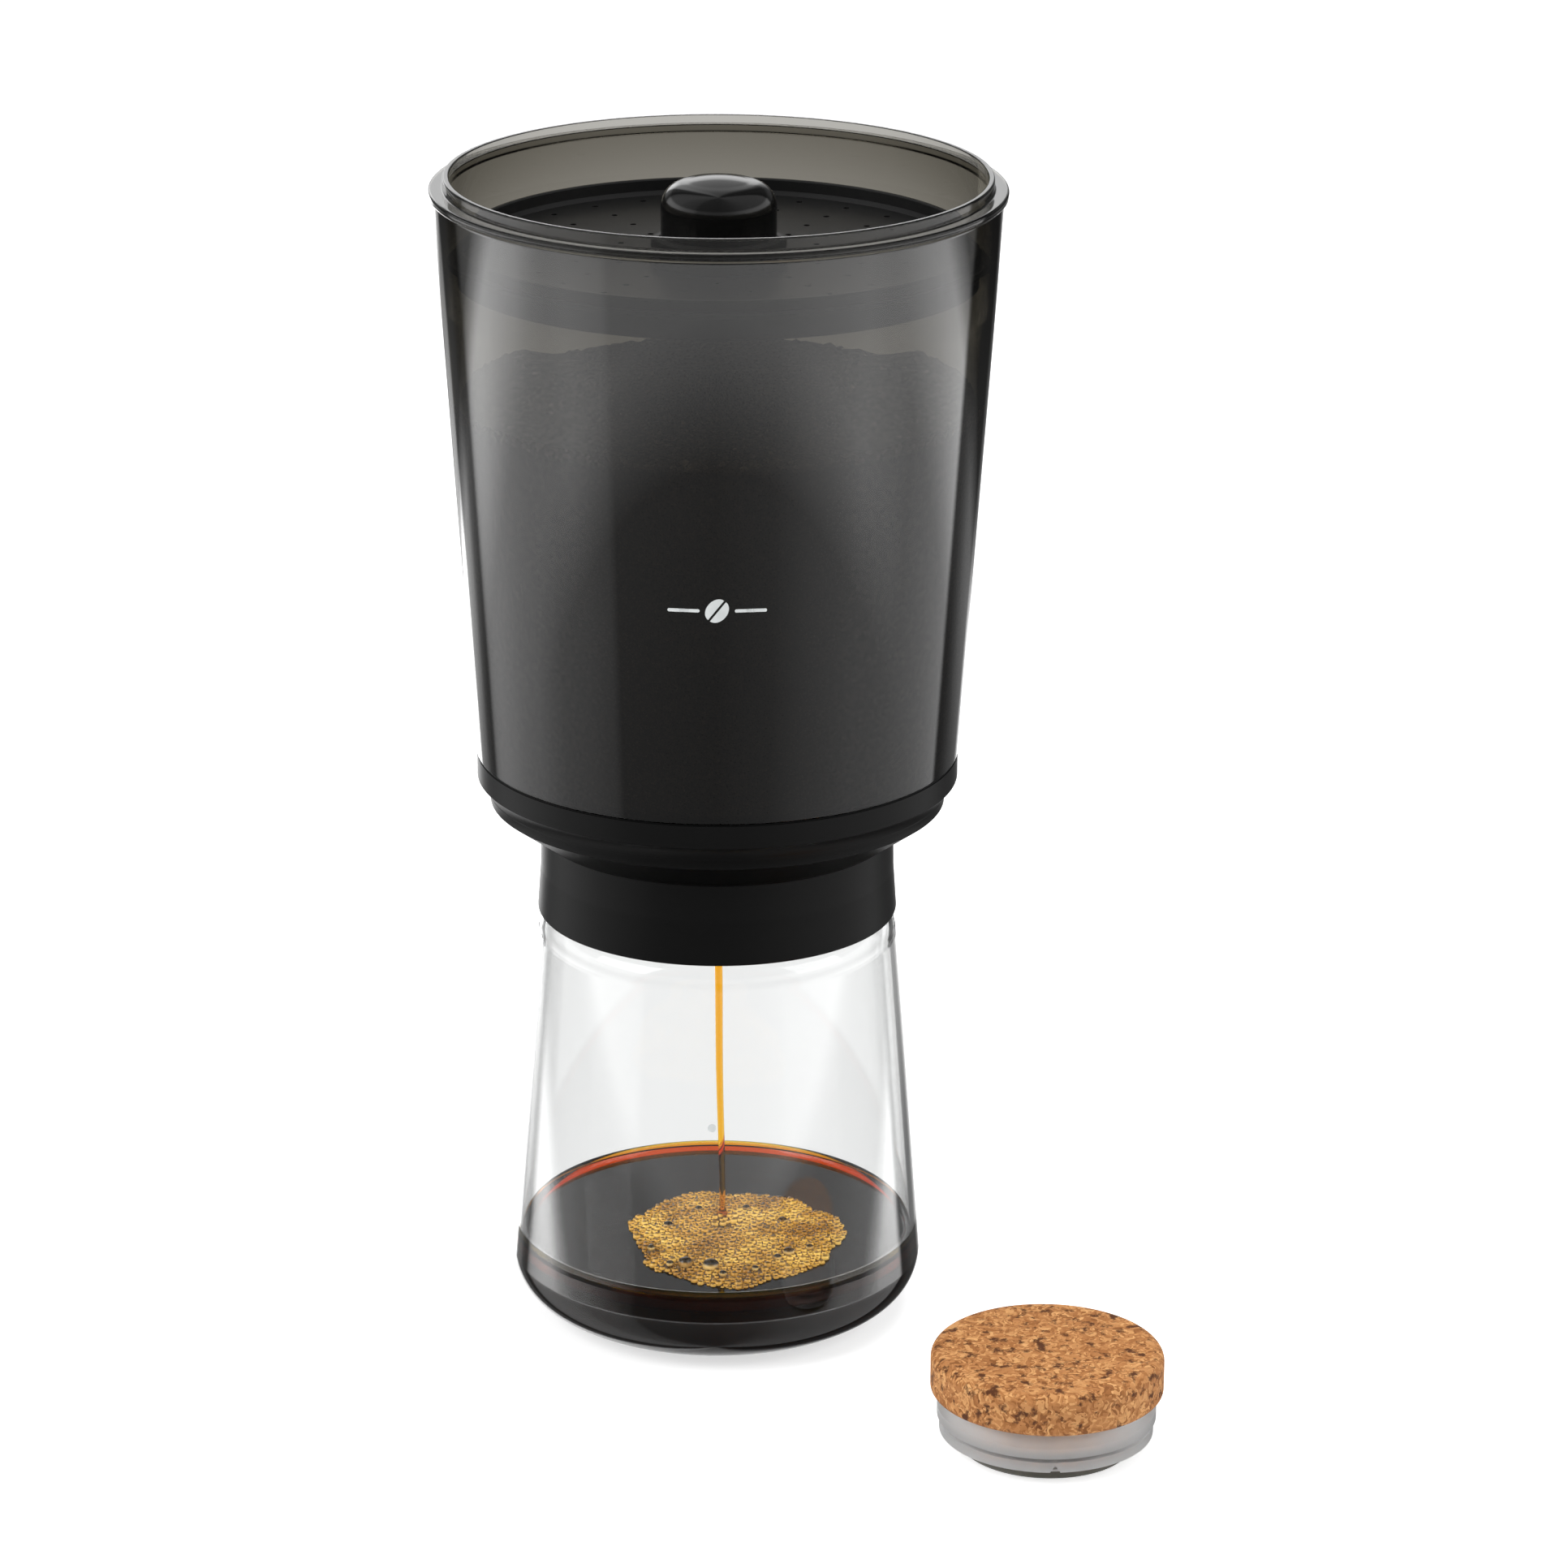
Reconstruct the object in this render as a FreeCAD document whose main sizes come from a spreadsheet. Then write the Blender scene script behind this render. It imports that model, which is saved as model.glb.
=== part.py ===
import FreeCAD, Part
import math
import os
import re
import Sketcher
from FreeCAD import Vector

# Cold brew coffee maker: a smoked brewing container on a black base stands over a glass carafe.
# Millimetres. The origin is the centre of the carafe's foot on the table, +Z is up, the front is -Y.

SIZES = {
    # glass carafe
    "glass_wall": 1.8,
    "glass_floor": 3.0,
    "belly_radius": 52.2,
    "belly_height": 14.9,
    "foot_inset": 18.4,
    "heel_inset": 5.4,
    "heel_mid_height": 4.36,
    "heel_low_curve": 21.56,
    "heel_high_curve": 13.1,
    "heel_inner_step": 1.2,
    "heel_inner_rise": 3.2,
    "belly_taper": 6.8,
    "shoulder_curve": 9.0,
    "neck_radius": 28.4,
    "neck_wall": 2.6,
    "neck_length": 11.0,
    "neck_foot_rise": 3.2,
    "neck_foot_step": 0.7,
    "neck_flare": 2.2,
    "neck_flare_rise": 1.0,
    "neck_inner_flare": 3.4,
    "neck_inner_rise": 0.4,
    "neck_inner_drop": 1.0,
    "neck_inner_step": 1.2,
    "rim_height": 121.0,
    "rim_edge": 0.9,
    "rim_inner_edge": 0.5,
    # smoked brewing container
    "joint_gap": 0.25,
    "wall_foot_radius": 60.25,
    "wall_top_radius": 69.6,
    "wall_rise": 134.4,
    "wall_thick": 3.0,
    "collar_rise": 7.4,
    "flange_step": 1.0,
    "flange_thick": 2.0,
    "flange_edge": 0.5,
    "lip_step": 2.5,
    "lip_thick": 1.4,
    "lip_rise": 2.9,
    "lip_edge": 0.4,
    "lip_inner_edge": 0.3,
    "tray_depth": 19.3,
    "tray_ledge": 0.55,
    "seat_band": 12.0,
    "spigot_step": 3.05,
    "spigot_thick": 2.0,
    "spigot_slope_rise": 2.4,
    "spigot_slope_drop": 0.6,
    # black base
    "base_inset": 0.05,
    "base_side": 6.0,
    "base_edge": 0.3,
    "base_curve": 8.0,
    "base_curve_inset": 3.2,
    "base_curve_rise": 6.4,
    "slope_rise": 8.1,
    "slope_step": 1.25,
    "slope_foot_rise": 0.9,
    "deck_edge_rise": 1.8,
    "deck_thick": 2.8,
    "funnel_inset": 1.6,
    "funnel_rise": 1.4,
    "funnel_step": 4.8,
    "ledge_step": 1.9,
    "ledge_width": 4.3,
    "filter_room": 2.5,
    "seal_thick": 1.7,
    "seal_inset": 0.5,
    "seal_gap": 0.1,
    "fit_gap": 0.3,
    "spigot_ring_rise": 6.2,
    "spigot_ring_thick": 2.0,
    "stop_rib_depth": 2.0,
    "stop_rib_inset": 0.8,
    "stop_rib_width": 4.0,
    "outlet_radius": 8.0,
    "outlet_bore": 6.0,
    "outlet_drop": 10.8,
    # skirt round the carafe's neck
    "skirt_inset": 0.15,
    "skirt_flare": 0.75,
    "skirt_taper": 0.15,
    "skirt_upper": 9.2,
    "skirt_lower": 11.4,
    "skirt_thick": 2.2,
    "skirt_edge": 0.6,
    "skirt_inner_edge": 0.2,
    # filter
    "gasket_gap": 0.3,
    "gasket_wall": 1.6,
    "gasket_lip_width": 3.4,
    "gasket_thick": 1.0,
    "gasket_fit": 0.05,
    "filter_ring": 3.6,
    "filter_frame_thick": 1.6,
    "filter_hub": 7.0,
    "filter_spoke": 2.4,
    "filter_spokes": 8,
    "spoke_inset": 0.5,
    "mesh_thick": 0.4,
    # drain valve
    "seat_radius": 10.0,
    "seat_depth": 2.2,
    "seat_lip": 0.3,
    "seat_gap": 0.1,
    "seat_outer_slope": 0.4,
    "seat_inner_slope": 0.6,
    "seat_band_start": 1.4,
    "seat_band_end": 0.6,
    "valve_travel": 4.0,
    "valve_clear": 0.1,
    "disc_radius": 8.6,
    "disc_thick": 1.6,
    "disc_edge": 0.4,
    "disc_draft": 0.3,
    "stem_radius": 2.0,
    "stem_collar": 3.6,
    "stem_drop": 8.6,
    "stem_taper": 1.0,
    "stem_flare": 1.4,
    "stem_flare_rise": 1.6,
    "cap_radius": 4.2,
    "cap_thick": 1.4,
    "cap_skin": 0.8,
    "cap_draft": 0.6,
    "cup_thick": 1.8,
    "cup_inner": 9.0,
    "cup_outer": 13.6,
    "cup_gap": 0.5,
    "ring_overhang": 3.4,
    "ring_step": 1.0,
    "ring_thick": 2.2,
    "ring_edge": 0.6,
    "rim_pad_thick": 1.2,
    "pad_overhang": 1.6,
    "pad_inset": 0.2,
    "spoke_width": 3.2,
    "spoke_depth": 2.2,
    "spoke_overlap": 0.8,
    "spoke_count": 3,
    "wire_radius": 0.5,
    "wire_bend": 1.6,
    "coil_radius": 10.4,
    "coil_turns": 3,
    "coil_leg": 1.0,
    # water spreading tray
    "tray_gap": 0.25,
    "tray_flange_thick": 1.2,
    "tray_flange_edge": 0.3,
    "tray_inset": 2.05,
    "tray_wall": 1.5,
    "tray_rise": 4.0,
    "tray_lift": 0.1,
    "tray_floor_thick": 1.8,
    "tray_corner": 1.0,
    "tray_skirt_inset": 2.35,
    "tray_skirt_wall": 1.6,
    "tray_skirt_drop": 5.7,
    "tray_edge": 0.5,
    "tray_inner_edge": 0.3,
    "boss_gap": 0.4,
    "boss_wall": 2.1,
    "boss_rise": 3.0,
    "boss_edge": 0.6,
    "rain_hole": 0.8,
    "hole_clear": 1.0,
    "rain_rings": 4,
    "rain_ring_first": 24.0,
    "rain_edge": 6.1,
    "rain_holes_first": 8,
    "rain_holes_more": 6,
    # knob
    "knob_radius": 14.2,
    "knob_curve": 6.2,
    "knob_rise": 18.3,
    "knob_crown": 1.0,
    "knob_foot_edge": 0.4,
    "screw_head_radius": 3.6,
    "screw_head_thick": 1.9,
    "screw_head_draft": 0.8,
    "screw_head_band": 0.6,
    "screw_radius": 1.5,
    "screw_length": 10.0,
    "screw_gap": 0.2,
    "screw_fit": 0.05,
    "screw_end_gap": 0.4,
    # stopper standing beside the carafe
    "stopper_side": 81.8,
    "stopper_front": 87.4,
    "cork_overhang": 0.1,
    "cork_thick": 10.7,
    "cork_top_curve": 2.6,
    "cork_foot_edge": 0.8,
    "core_inset": 5.0,
    "core_gap": 0.2,
    "disc_gap": 0.1,
    "seal_foot": 3.3,
    "seal_neck_inset": 1.6,
    "seal_shoulder_inset": 0.6,
    "seal_shoulder_depth": 0.8,
    "seal_shoulder_rise": 3.9,
    "upper_fin_reach": 1.0,
    "lower_fin_reach": 0.4,
    "fin_foot_rise": 0.6,
    "fin_thick": 2.6,
    "fin_space": 1.2,
    "fin_droop": 0.8,
    "notch_width": 2.6,
    "notch_height": 1.9,
    "notch_side": 1.2,
    "notch_clear": 0.05,
    "notch_overlap": 1.0,
    "plug_disc_step": 0.9,
    "plug_disc_edge": 0.6,
    "plug_radius": 10.0,
    "plug_rise": 5.7,
}

# Sizes that follow from the ones above, so that neighbouring pieces keep together.
DERIVED = {
    "foot_radius": "belly_radius - foot_inset",
    "heel_mid_radius": "belly_radius - heel_inset",
    "shoulder_radius": "belly_radius - belly_taper",
    "shoulder_top": "rim_height - neck_length",
    "shoulder_inner": "shoulder_curve - glass_wall",
    "neck_foot": "shoulder_top + neck_foot_rise",
    "mouth_radius": "neck_radius - neck_wall",
    "ring_inner": "mouth_radius - ring_overhang",
    "ring_outer": "neck_radius + ring_step",
    "stop_rib_outer": "ring_outer - stop_rib_inset",
    "stop_rib_inner": "stop_rib_outer - stop_rib_width",
    "stop_rib_foot": "rim_height + rim_pad_thick + ring_thick",
    "deck_under": "stop_rib_foot + stop_rib_depth",
    "deck_edge": "deck_under + deck_edge_rise",
    "deck_top": "deck_under + deck_thick",
    "slope_foot": "deck_edge + slope_foot_rise",
    "base_curve_foot": "slope_foot + slope_rise",
    "base_side_foot": "base_curve_foot + base_curve_rise",
    "joint_height": "base_side_foot + base_side",
    "funnel_height": "deck_top + funnel_rise",
    "ledge_foot": "funnel_height + funnel_step",
    "ledge_height": "ledge_foot + ledge_step",
    "seal_seat": "ledge_height + filter_room",
    "spigot_foot": "seal_seat + seal_thick",
    "spigot_ring_foot": "deck_edge - spigot_ring_rise",
    "outlet_foot": "deck_under - outlet_drop",
    "seat_foot": "deck_top - seat_depth",
    "stem_foot": "rim_height - stem_drop",
    "skirt_foot_radius": "shoulder_radius - skirt_inset",
    "skirt_mid_radius": "skirt_foot_radius - skirt_flare",
    "skirt_top_radius": "skirt_mid_radius - skirt_taper",
    "skirt_mid_height": "deck_edge - skirt_upper",
    "skirt_foot": "skirt_mid_height - skirt_lower",
    "slope_foot_radius": "skirt_top_radius + slope_step",
    "base_radius": "wall_foot_radius - base_inset",
    "base_curve_radius": "base_radius - base_curve_inset",
    "spigot_radius": "wall_foot_radius - spigot_step",
    "spigot_bore": "spigot_radius - spigot_thick",
    "filter_bore": "spigot_bore + seal_gap",
    "ledge_radius": "filter_bore - ledge_width",
    "funnel_radius": "slope_foot_radius - funnel_inset",
    "gasket_radius": "filter_bore - gasket_gap",
    "gasket_lip": "gasket_radius - gasket_lip_width",
    "filter_radius": "gasket_radius - gasket_wall",
    "wall_top_height": "joint_height + wall_rise",
    "flange_low": "wall_top_height + collar_rise",
    "flange_radius": "wall_top_radius + flange_step",
    "lip_radius": "wall_top_radius - lip_step",
    "lip_height": "flange_low + flange_thick + lip_rise",
    "mouth_bore": "lip_radius - lip_thick",
    "tray_seat_height": "lip_height - tray_depth",
    "tray_seat_radius": "mouth_bore - tray_ledge",
    "wall_bend_height": "tray_seat_height - seat_band",
    "tray_flange_radius": "mouth_bore - tray_gap",
    "tray_radius": "tray_seat_radius - tray_inset",
    "tray_bore": "tray_radius - tray_wall",
    "rain_ring_step": "(tray_bore - rain_edge - rain_ring_first) / (rain_rings - 1)",
    "tray_top": "tray_seat_height + tray_rise",
    "tray_floor": "tray_seat_height + tray_lift",
    "tray_skirt_radius": "tray_seat_radius - tray_skirt_inset",
    "tray_skirt_bore": "tray_skirt_radius - tray_skirt_wall",
    "tray_skirt_foot": "tray_seat_height - tray_skirt_drop",
    "boss_bore": "knob_radius + boss_gap",
    "boss_radius": "boss_bore + boss_wall",
    "boss_top": "tray_floor + boss_rise",
    "knob_top": "tray_floor + knob_rise",
    "cork_radius": "neck_radius + cork_overhang",
    "core_radius": "mouth_radius - core_inset",
    "seal_neck": "mouth_radius - seal_neck_inset",
    "seal_shoulder": "mouth_radius - seal_shoulder_inset",
    "upper_fin_radius": "mouth_radius + upper_fin_reach",
    "lower_fin_radius": "mouth_radius + lower_fin_reach",
    "lower_fin_foot": "seal_foot + fin_foot_rise",
    "lower_fin_top": "lower_fin_foot + fin_thick",
    "upper_fin_foot": "lower_fin_top + fin_space",
    "upper_fin_top": "upper_fin_foot + fin_thick",
    "cork_foot": "upper_fin_top + seal_shoulder_rise",
    "cork_top": "cork_foot + cork_thick",
    "plug_disc_radius": "core_radius + plug_disc_step",
    "plug_top": "seal_foot + plug_rise",
}

SOLID_BODIES = []

doc = FreeCAD.newDocument("cold_brew_maker")
sheet = doc.addObject("Spreadsheet::Sheet", "dims")
CELLS = {alias: str(value) for alias, value in SIZES.items()}
CELLS.update({alias: "=" + formula for alias, formula in DERIVED.items()})
for row, (alias, content) in enumerate(CELLS.items(), start=1):
    sheet.set("A%d" % row, alias)
    sheet.set("B%d" % row, content)
    sheet.setAlias("B%d" % row, alias)
doc.recompute()


def bound(text):
    """Turn a formula of size names into one that reads the sheet."""
    def named(match):
        word = match.group(0)
        return "dims." + word if word in CELLS else word
    return re.sub(r"[a-z_]+", named, text)


def size(text):
    """The number that a formula of size names stands for."""
    return float(sheet.evalExpression(bound(text)))


def new_body(name):
    body = doc.addObject("PartDesign::Body", name)
    body.Label = name
    SOLID_BODIES.append(body)
    return body


def origin_plane(body, role):
    return [item for item in body.Origin.OriginFeatures if item.Role == role][0]


def new_sketch(body, name, role="XZ_Plane"):
    sketch = body.newObject("Sketcher::SketchObject", name)
    sketch.AttachmentSupport = [(origin_plane(body, role), "")]
    sketch.MapMode = "FlatFace"
    return sketch


def fix_coordinate(sketch, kind, segment, end, text):
    """Hold one coordinate of a segment's end at a formula from the sheet."""
    axis = {"DistanceX": -2, "DistanceY": -1}[kind]
    if text == "0":
        sketch.addConstraint(Sketcher.Constraint("PointOnObject", segment, end, axis))
        return
    index = sketch.addConstraint(Sketcher.Constraint(kind, -1, 1, segment, end, size(text)))
    sketch.setExpression("Constraints[%d]" % index, bound(text))


def arc_between(start, end, radius, turn):
    """Arc of less than half a circle; turn is 1 for left-hand and -1 for right-hand travel."""
    chord = end - start
    half = chord.Length / 2
    rise = math.sqrt(max(radius * radius - half * half, 0.0))
    left = Vector(-chord.y, chord.x, 0).normalize()
    centre = (start + end) / 2 + left * (rise * turn)
    first, last = (start, end) if turn > 0 else (end, start)
    angle_first = math.atan2(first.y - centre.y, first.x - centre.x)
    angle_last = math.atan2(last.y - centre.y, last.x - centre.x)
    circle = Part.Circle(centre, Vector(0, 0, 1), radius)
    return Part.ArcOfCircle(circle, angle_first, angle_last)


def outline(sketch, corners):
    """Closed outline. A corner is (across, up), or (across, up, radius, turn) where an arc leads to it."""
    points = [Vector(size(corner[0]), size(corner[1]), 0) for corner in corners]
    count = len(corners)
    ends = []
    for index in range(count):
        start = points[index]
        target = (index + 1) % count
        corner = corners[target]
        if len(corner) == 4:
            arc = arc_between(start, points[target], size(corner[2]), corner[3])
            segment = sketch.addGeometry(arc, False)
            ends.append((segment, 1, 2) if corner[3] > 0 else (segment, 2, 1))
            radius = sketch.addConstraint(Sketcher.Constraint("Radius", segment, size(corner[2])))
            sketch.setExpression("Constraints[%d]" % radius, bound(corner[2]))
        else:
            segment = sketch.addGeometry(Part.LineSegment(start, points[target]), False)
            ends.append((segment, 1, 2))
    for index in range(count):
        segment, first, last = ends[index]
        following, next_first, next_last = ends[(index + 1) % count]
        sketch.addConstraint(Sketcher.Constraint("Coincident", segment, last, following, next_first))
        fix_coordinate(sketch, "DistanceX", segment, first, corners[index][0])
        fix_coordinate(sketch, "DistanceY", segment, first, corners[index][1])


def add_turned(body, name, corners):
    """Turn an outline of radius and height round the body's vertical axis."""
    sketch = new_sketch(body, name + "_outline")
    outline(sketch, corners)
    turned = body.newObject("PartDesign::Revolution", name)
    turned.Profile = sketch
    turned.ReferenceAxis = (sketch, ["V_Axis"])
    turned.Angle = 360
    sketch.Visibility = False
    doc.recompute()
    return turned


def turned_body(name, corners):
    body = new_body(name)
    add_turned(body, name + "_turned", corners)
    return body


def add_repeat(body, name, feature, sketch, count):
    """Repeat a feature evenly round the vertical axis."""
    repeat = body.newObject("PartDesign::PolarPattern", name)
    repeat.Originals = [feature]
    repeat.Axis = (sketch, ["N_Axis"])
    repeat.Angle = 360
    repeat.Occurrences = int(size(count))
    repeat.setExpression("Occurrences", bound(count))
    body.Tip = repeat
    doc.recompute()
    return repeat


def add_pad(body, name, sketch, length, both_ways=False):
    pad = body.newObject("PartDesign::Pad", name)
    pad.Profile = sketch
    pad.Midplane = both_ways
    pad.setExpression("Length", bound(length))
    doc.recompute()
    return pad


def add_hole(body, name, across, radius, top, depth):
    """Round hole cut downwards from a height, on the X axis at a given distance."""
    sketch = new_sketch(body, name + "_circle", "XY_Plane")
    sketch.setExpression("AttachmentOffset.Base.z", bound(top))
    centre = Vector(size(across), 0, 0)
    circle = sketch.addGeometry(Part.Circle(centre, Vector(0, 0, 1), size(radius)), False)
    fix_coordinate(sketch, "DistanceX", circle, 3, across)
    fix_coordinate(sketch, "DistanceY", circle, 3, "0")
    limit = sketch.addConstraint(Sketcher.Constraint("Radius", circle, size(radius)))
    sketch.setExpression("Constraints[%d]" % limit, bound(radius))
    before = body.Shape.Volume
    pocket = body.newObject("PartDesign::Pocket", name)
    pocket.Profile = sketch
    pocket.setExpression("Length", bound(depth))
    doc.recompute()
    if body.Shape.Volume >= before:
        raise ValueError(name + " cuts nothing")
    return pocket, sketch


def make_carafe_glass():
    inner = "belly_radius - glass_wall"
    heel_inner = "heel_high_curve - glass_wall"
    under_shoulder = "shoulder_top - glass_wall"
    under_neck = under_shoulder + " + neck_inner_rise"
    shoulder_foot = "shoulder_top - shoulder_curve"
    shoulder_centre = "shoulder_radius - shoulder_curve"

    def on_inner_shoulder(angle):
        """Corner on the shoulder's inner face, at an angle from its top."""
        across = shoulder_centre + " + shoulder_inner * sin(%d deg)" % angle
        return across, shoulder_foot + " + shoulder_inner * cos(%d deg)" % angle

    turned_body("carafe_glass", [
        ("0", "0"),
        ("foot_radius", "0"),
        ("heel_mid_radius", "heel_mid_height", "heel_low_curve", 1),
        ("belly_radius", "belly_height", "heel_high_curve", 1),
        ("shoulder_radius", shoulder_foot),
        (shoulder_centre, "shoulder_top", "shoulder_curve", 1),
        ("neck_radius + neck_flare", "shoulder_top + neck_flare_rise"),
        ("neck_radius + neck_foot_step", "shoulder_top + neck_flare_rise + neck_foot_step"),
        ("neck_radius", "neck_foot"),
        ("neck_radius", "rim_height - rim_edge"),
        ("neck_radius - rim_edge", "rim_height"),
        ("mouth_radius + rim_inner_edge", "rim_height"),
        ("mouth_radius", "rim_height - rim_inner_edge"),
        ("mouth_radius", "neck_foot - neck_inner_drop"),
        ("mouth_radius + neck_inner_step", under_neck + " + neck_inner_step"),
        ("mouth_radius + neck_inner_flare", under_neck),
        (shoulder_centre, under_shoulder),
        on_inner_shoulder(30),
        on_inner_shoulder(60),
        ("shoulder_radius - glass_wall", shoulder_foot),
        (inner, "belly_height"),
        ("heel_mid_radius - heel_inner_step", "glass_floor + heel_inner_rise", heel_inner, -1),
        ("foot_radius", "glass_floor", "heel_low_curve - glass_wall", -1),
        ("0", "glass_floor"),
    ])


def make_brewing_container():
    flange_top = "flange_low + flange_thick"
    turned_body("brewing_container", [
        ("spigot_bore", "spigot_foot"),
        ("spigot_radius", "spigot_foot"),
        ("spigot_radius", "joint_height + joint_gap"),
        ("wall_foot_radius", "joint_height + joint_gap"),
        ("wall_top_radius", "wall_top_height"),
        ("wall_top_radius", "flange_low"),
        ("flange_radius - flange_edge", "flange_low"),
        ("flange_radius", "flange_low + flange_edge"),
        ("flange_radius", flange_top + " - flange_edge"),
        ("flange_radius - flange_edge", flange_top),
        ("lip_radius", flange_top),
        ("lip_radius", "lip_height - lip_edge"),
        ("lip_radius - lip_edge", "lip_height"),
        ("mouth_bore + lip_inner_edge", "lip_height"),
        ("mouth_bore", "lip_height - lip_inner_edge"),
        ("mouth_bore", "tray_seat_height"),
        ("tray_seat_radius", "tray_seat_height"),
        ("tray_seat_radius", "wall_bend_height"),
        ("wall_foot_radius - wall_thick", "joint_height + spigot_slope_rise"),
        ("spigot_bore", "joint_height - spigot_slope_drop"),
    ])


def make_base_bowl():
    ring_outer = "skirt_top_radius - skirt_thick - fit_gap"
    turned_body("base_bowl", [
        ("spigot_radius + fit_gap", "joint_height"),
        ("base_radius - base_edge", "joint_height"),
        ("base_radius", "joint_height - base_edge"),
        ("base_radius", "base_side_foot"),
        ("base_curve_radius", "base_curve_foot", "base_curve", -1),
        ("slope_foot_radius", "slope_foot"),
        ("skirt_top_radius", "deck_edge"),
        (ring_outer, "deck_edge"),
        (ring_outer, "spigot_ring_foot"),
        (ring_outer + " - spigot_ring_thick", "spigot_ring_foot"),
        (ring_outer + " - spigot_ring_thick", "deck_under"),
        ("stop_rib_outer", "deck_under"),
        ("stop_rib_outer", "stop_rib_foot"),
        ("stop_rib_inner", "stop_rib_foot"),
        ("stop_rib_inner", "deck_under"),
        ("outlet_radius", "deck_under"),
        ("outlet_radius", "outlet_foot"),
        ("outlet_bore", "outlet_foot"),
        ("outlet_bore", "seat_foot"),
        ("seat_radius", "seat_foot"),
        ("seat_radius", "deck_top"),
        ("funnel_radius", "funnel_height"),
        ("ledge_radius", "ledge_foot"),
        ("ledge_radius", "ledge_height"),
        ("filter_bore", "ledge_height"),
        ("filter_bore", "seal_seat"),
        ("spigot_radius + fit_gap", "seal_seat"),
    ])


def make_base_skirt():
    turned_body("base_skirt", [
        ("skirt_top_radius - skirt_thick", "deck_edge"),
        ("skirt_top_radius", "deck_edge"),
        ("skirt_mid_radius", "skirt_mid_height"),
        ("skirt_foot_radius", "skirt_foot + skirt_edge"),
        ("skirt_foot_radius - skirt_edge", "skirt_foot"),
        ("skirt_foot_radius - skirt_thick + skirt_inner_edge", "skirt_foot"),
        ("skirt_foot_radius - skirt_thick", "skirt_foot + skirt_inner_edge"),
        ("skirt_mid_radius - skirt_thick", "skirt_mid_height"),
    ])


def make_container_seal():
    turned_body("container_seal", [
        ("filter_bore + seal_inset", "seal_seat"),
        ("spigot_radius + fit_gap - seal_gap", "seal_seat"),
        ("spigot_radius + fit_gap - seal_gap", "spigot_foot"),
        ("filter_bore + seal_inset", "spigot_foot"),
    ])


def make_filter():
    frame_top = "ledge_height + filter_frame_thick"
    frame = new_body("filter_frame")
    spoke = new_sketch(frame, "filter_spoke_outline")
    outline(spoke, [
        ("0", "ledge_height"),
        ("filter_radius - spoke_inset", "ledge_height"),
        ("filter_radius - spoke_inset", frame_top),
        ("0", frame_top),
    ])
    pad = add_pad(frame, "filter_spoke_pad", spoke, "filter_spoke", True)
    upright = new_sketch(frame, "filter_axis", "XY_Plane")
    add_repeat(frame, "filter_spoke_ring", pad, upright, "filter_spokes")
    add_turned(frame, "filter_rim", [
        ("filter_radius - filter_ring", "ledge_height"),
        ("filter_radius", "ledge_height"),
        ("filter_radius", frame_top),
        ("filter_radius - filter_ring", frame_top),
    ])
    add_turned(frame, "filter_centre", [
        ("0", "ledge_height"),
        ("filter_hub", "ledge_height"),
        ("filter_hub", frame_top),
        ("0", frame_top),
    ])
    turned_body("filter_mesh", [
        ("0", frame_top),
        ("filter_radius", frame_top),
        ("filter_radius", frame_top + " + mesh_thick"),
        ("0", frame_top + " + mesh_thick"),
    ])
    mesh_top = frame_top + " + mesh_thick"
    turned_body("filter_gasket", [
        ("filter_radius + gasket_fit", "ledge_height"),
        ("gasket_radius", "ledge_height"),
        ("gasket_radius", mesh_top + " + gasket_thick"),
        ("gasket_lip", mesh_top + " + gasket_thick"),
        ("gasket_lip", mesh_top),
        ("filter_radius + gasket_fit", mesh_top),
    ])


def make_valve_seat():
    turned_body("valve_seat", [
        ("outlet_bore", "seat_foot"),
        ("seat_radius - seat_gap", "seat_foot"),
        ("seat_radius - seat_gap", "deck_top - seat_lip - seat_outer_slope"),
        ("disc_radius - seat_band_end", "deck_top - seat_lip"),
        ("disc_radius - seat_band_start", "deck_top - seat_lip"),
        ("outlet_bore", "deck_top - seat_lip - seat_inner_slope"),
    ])


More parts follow.
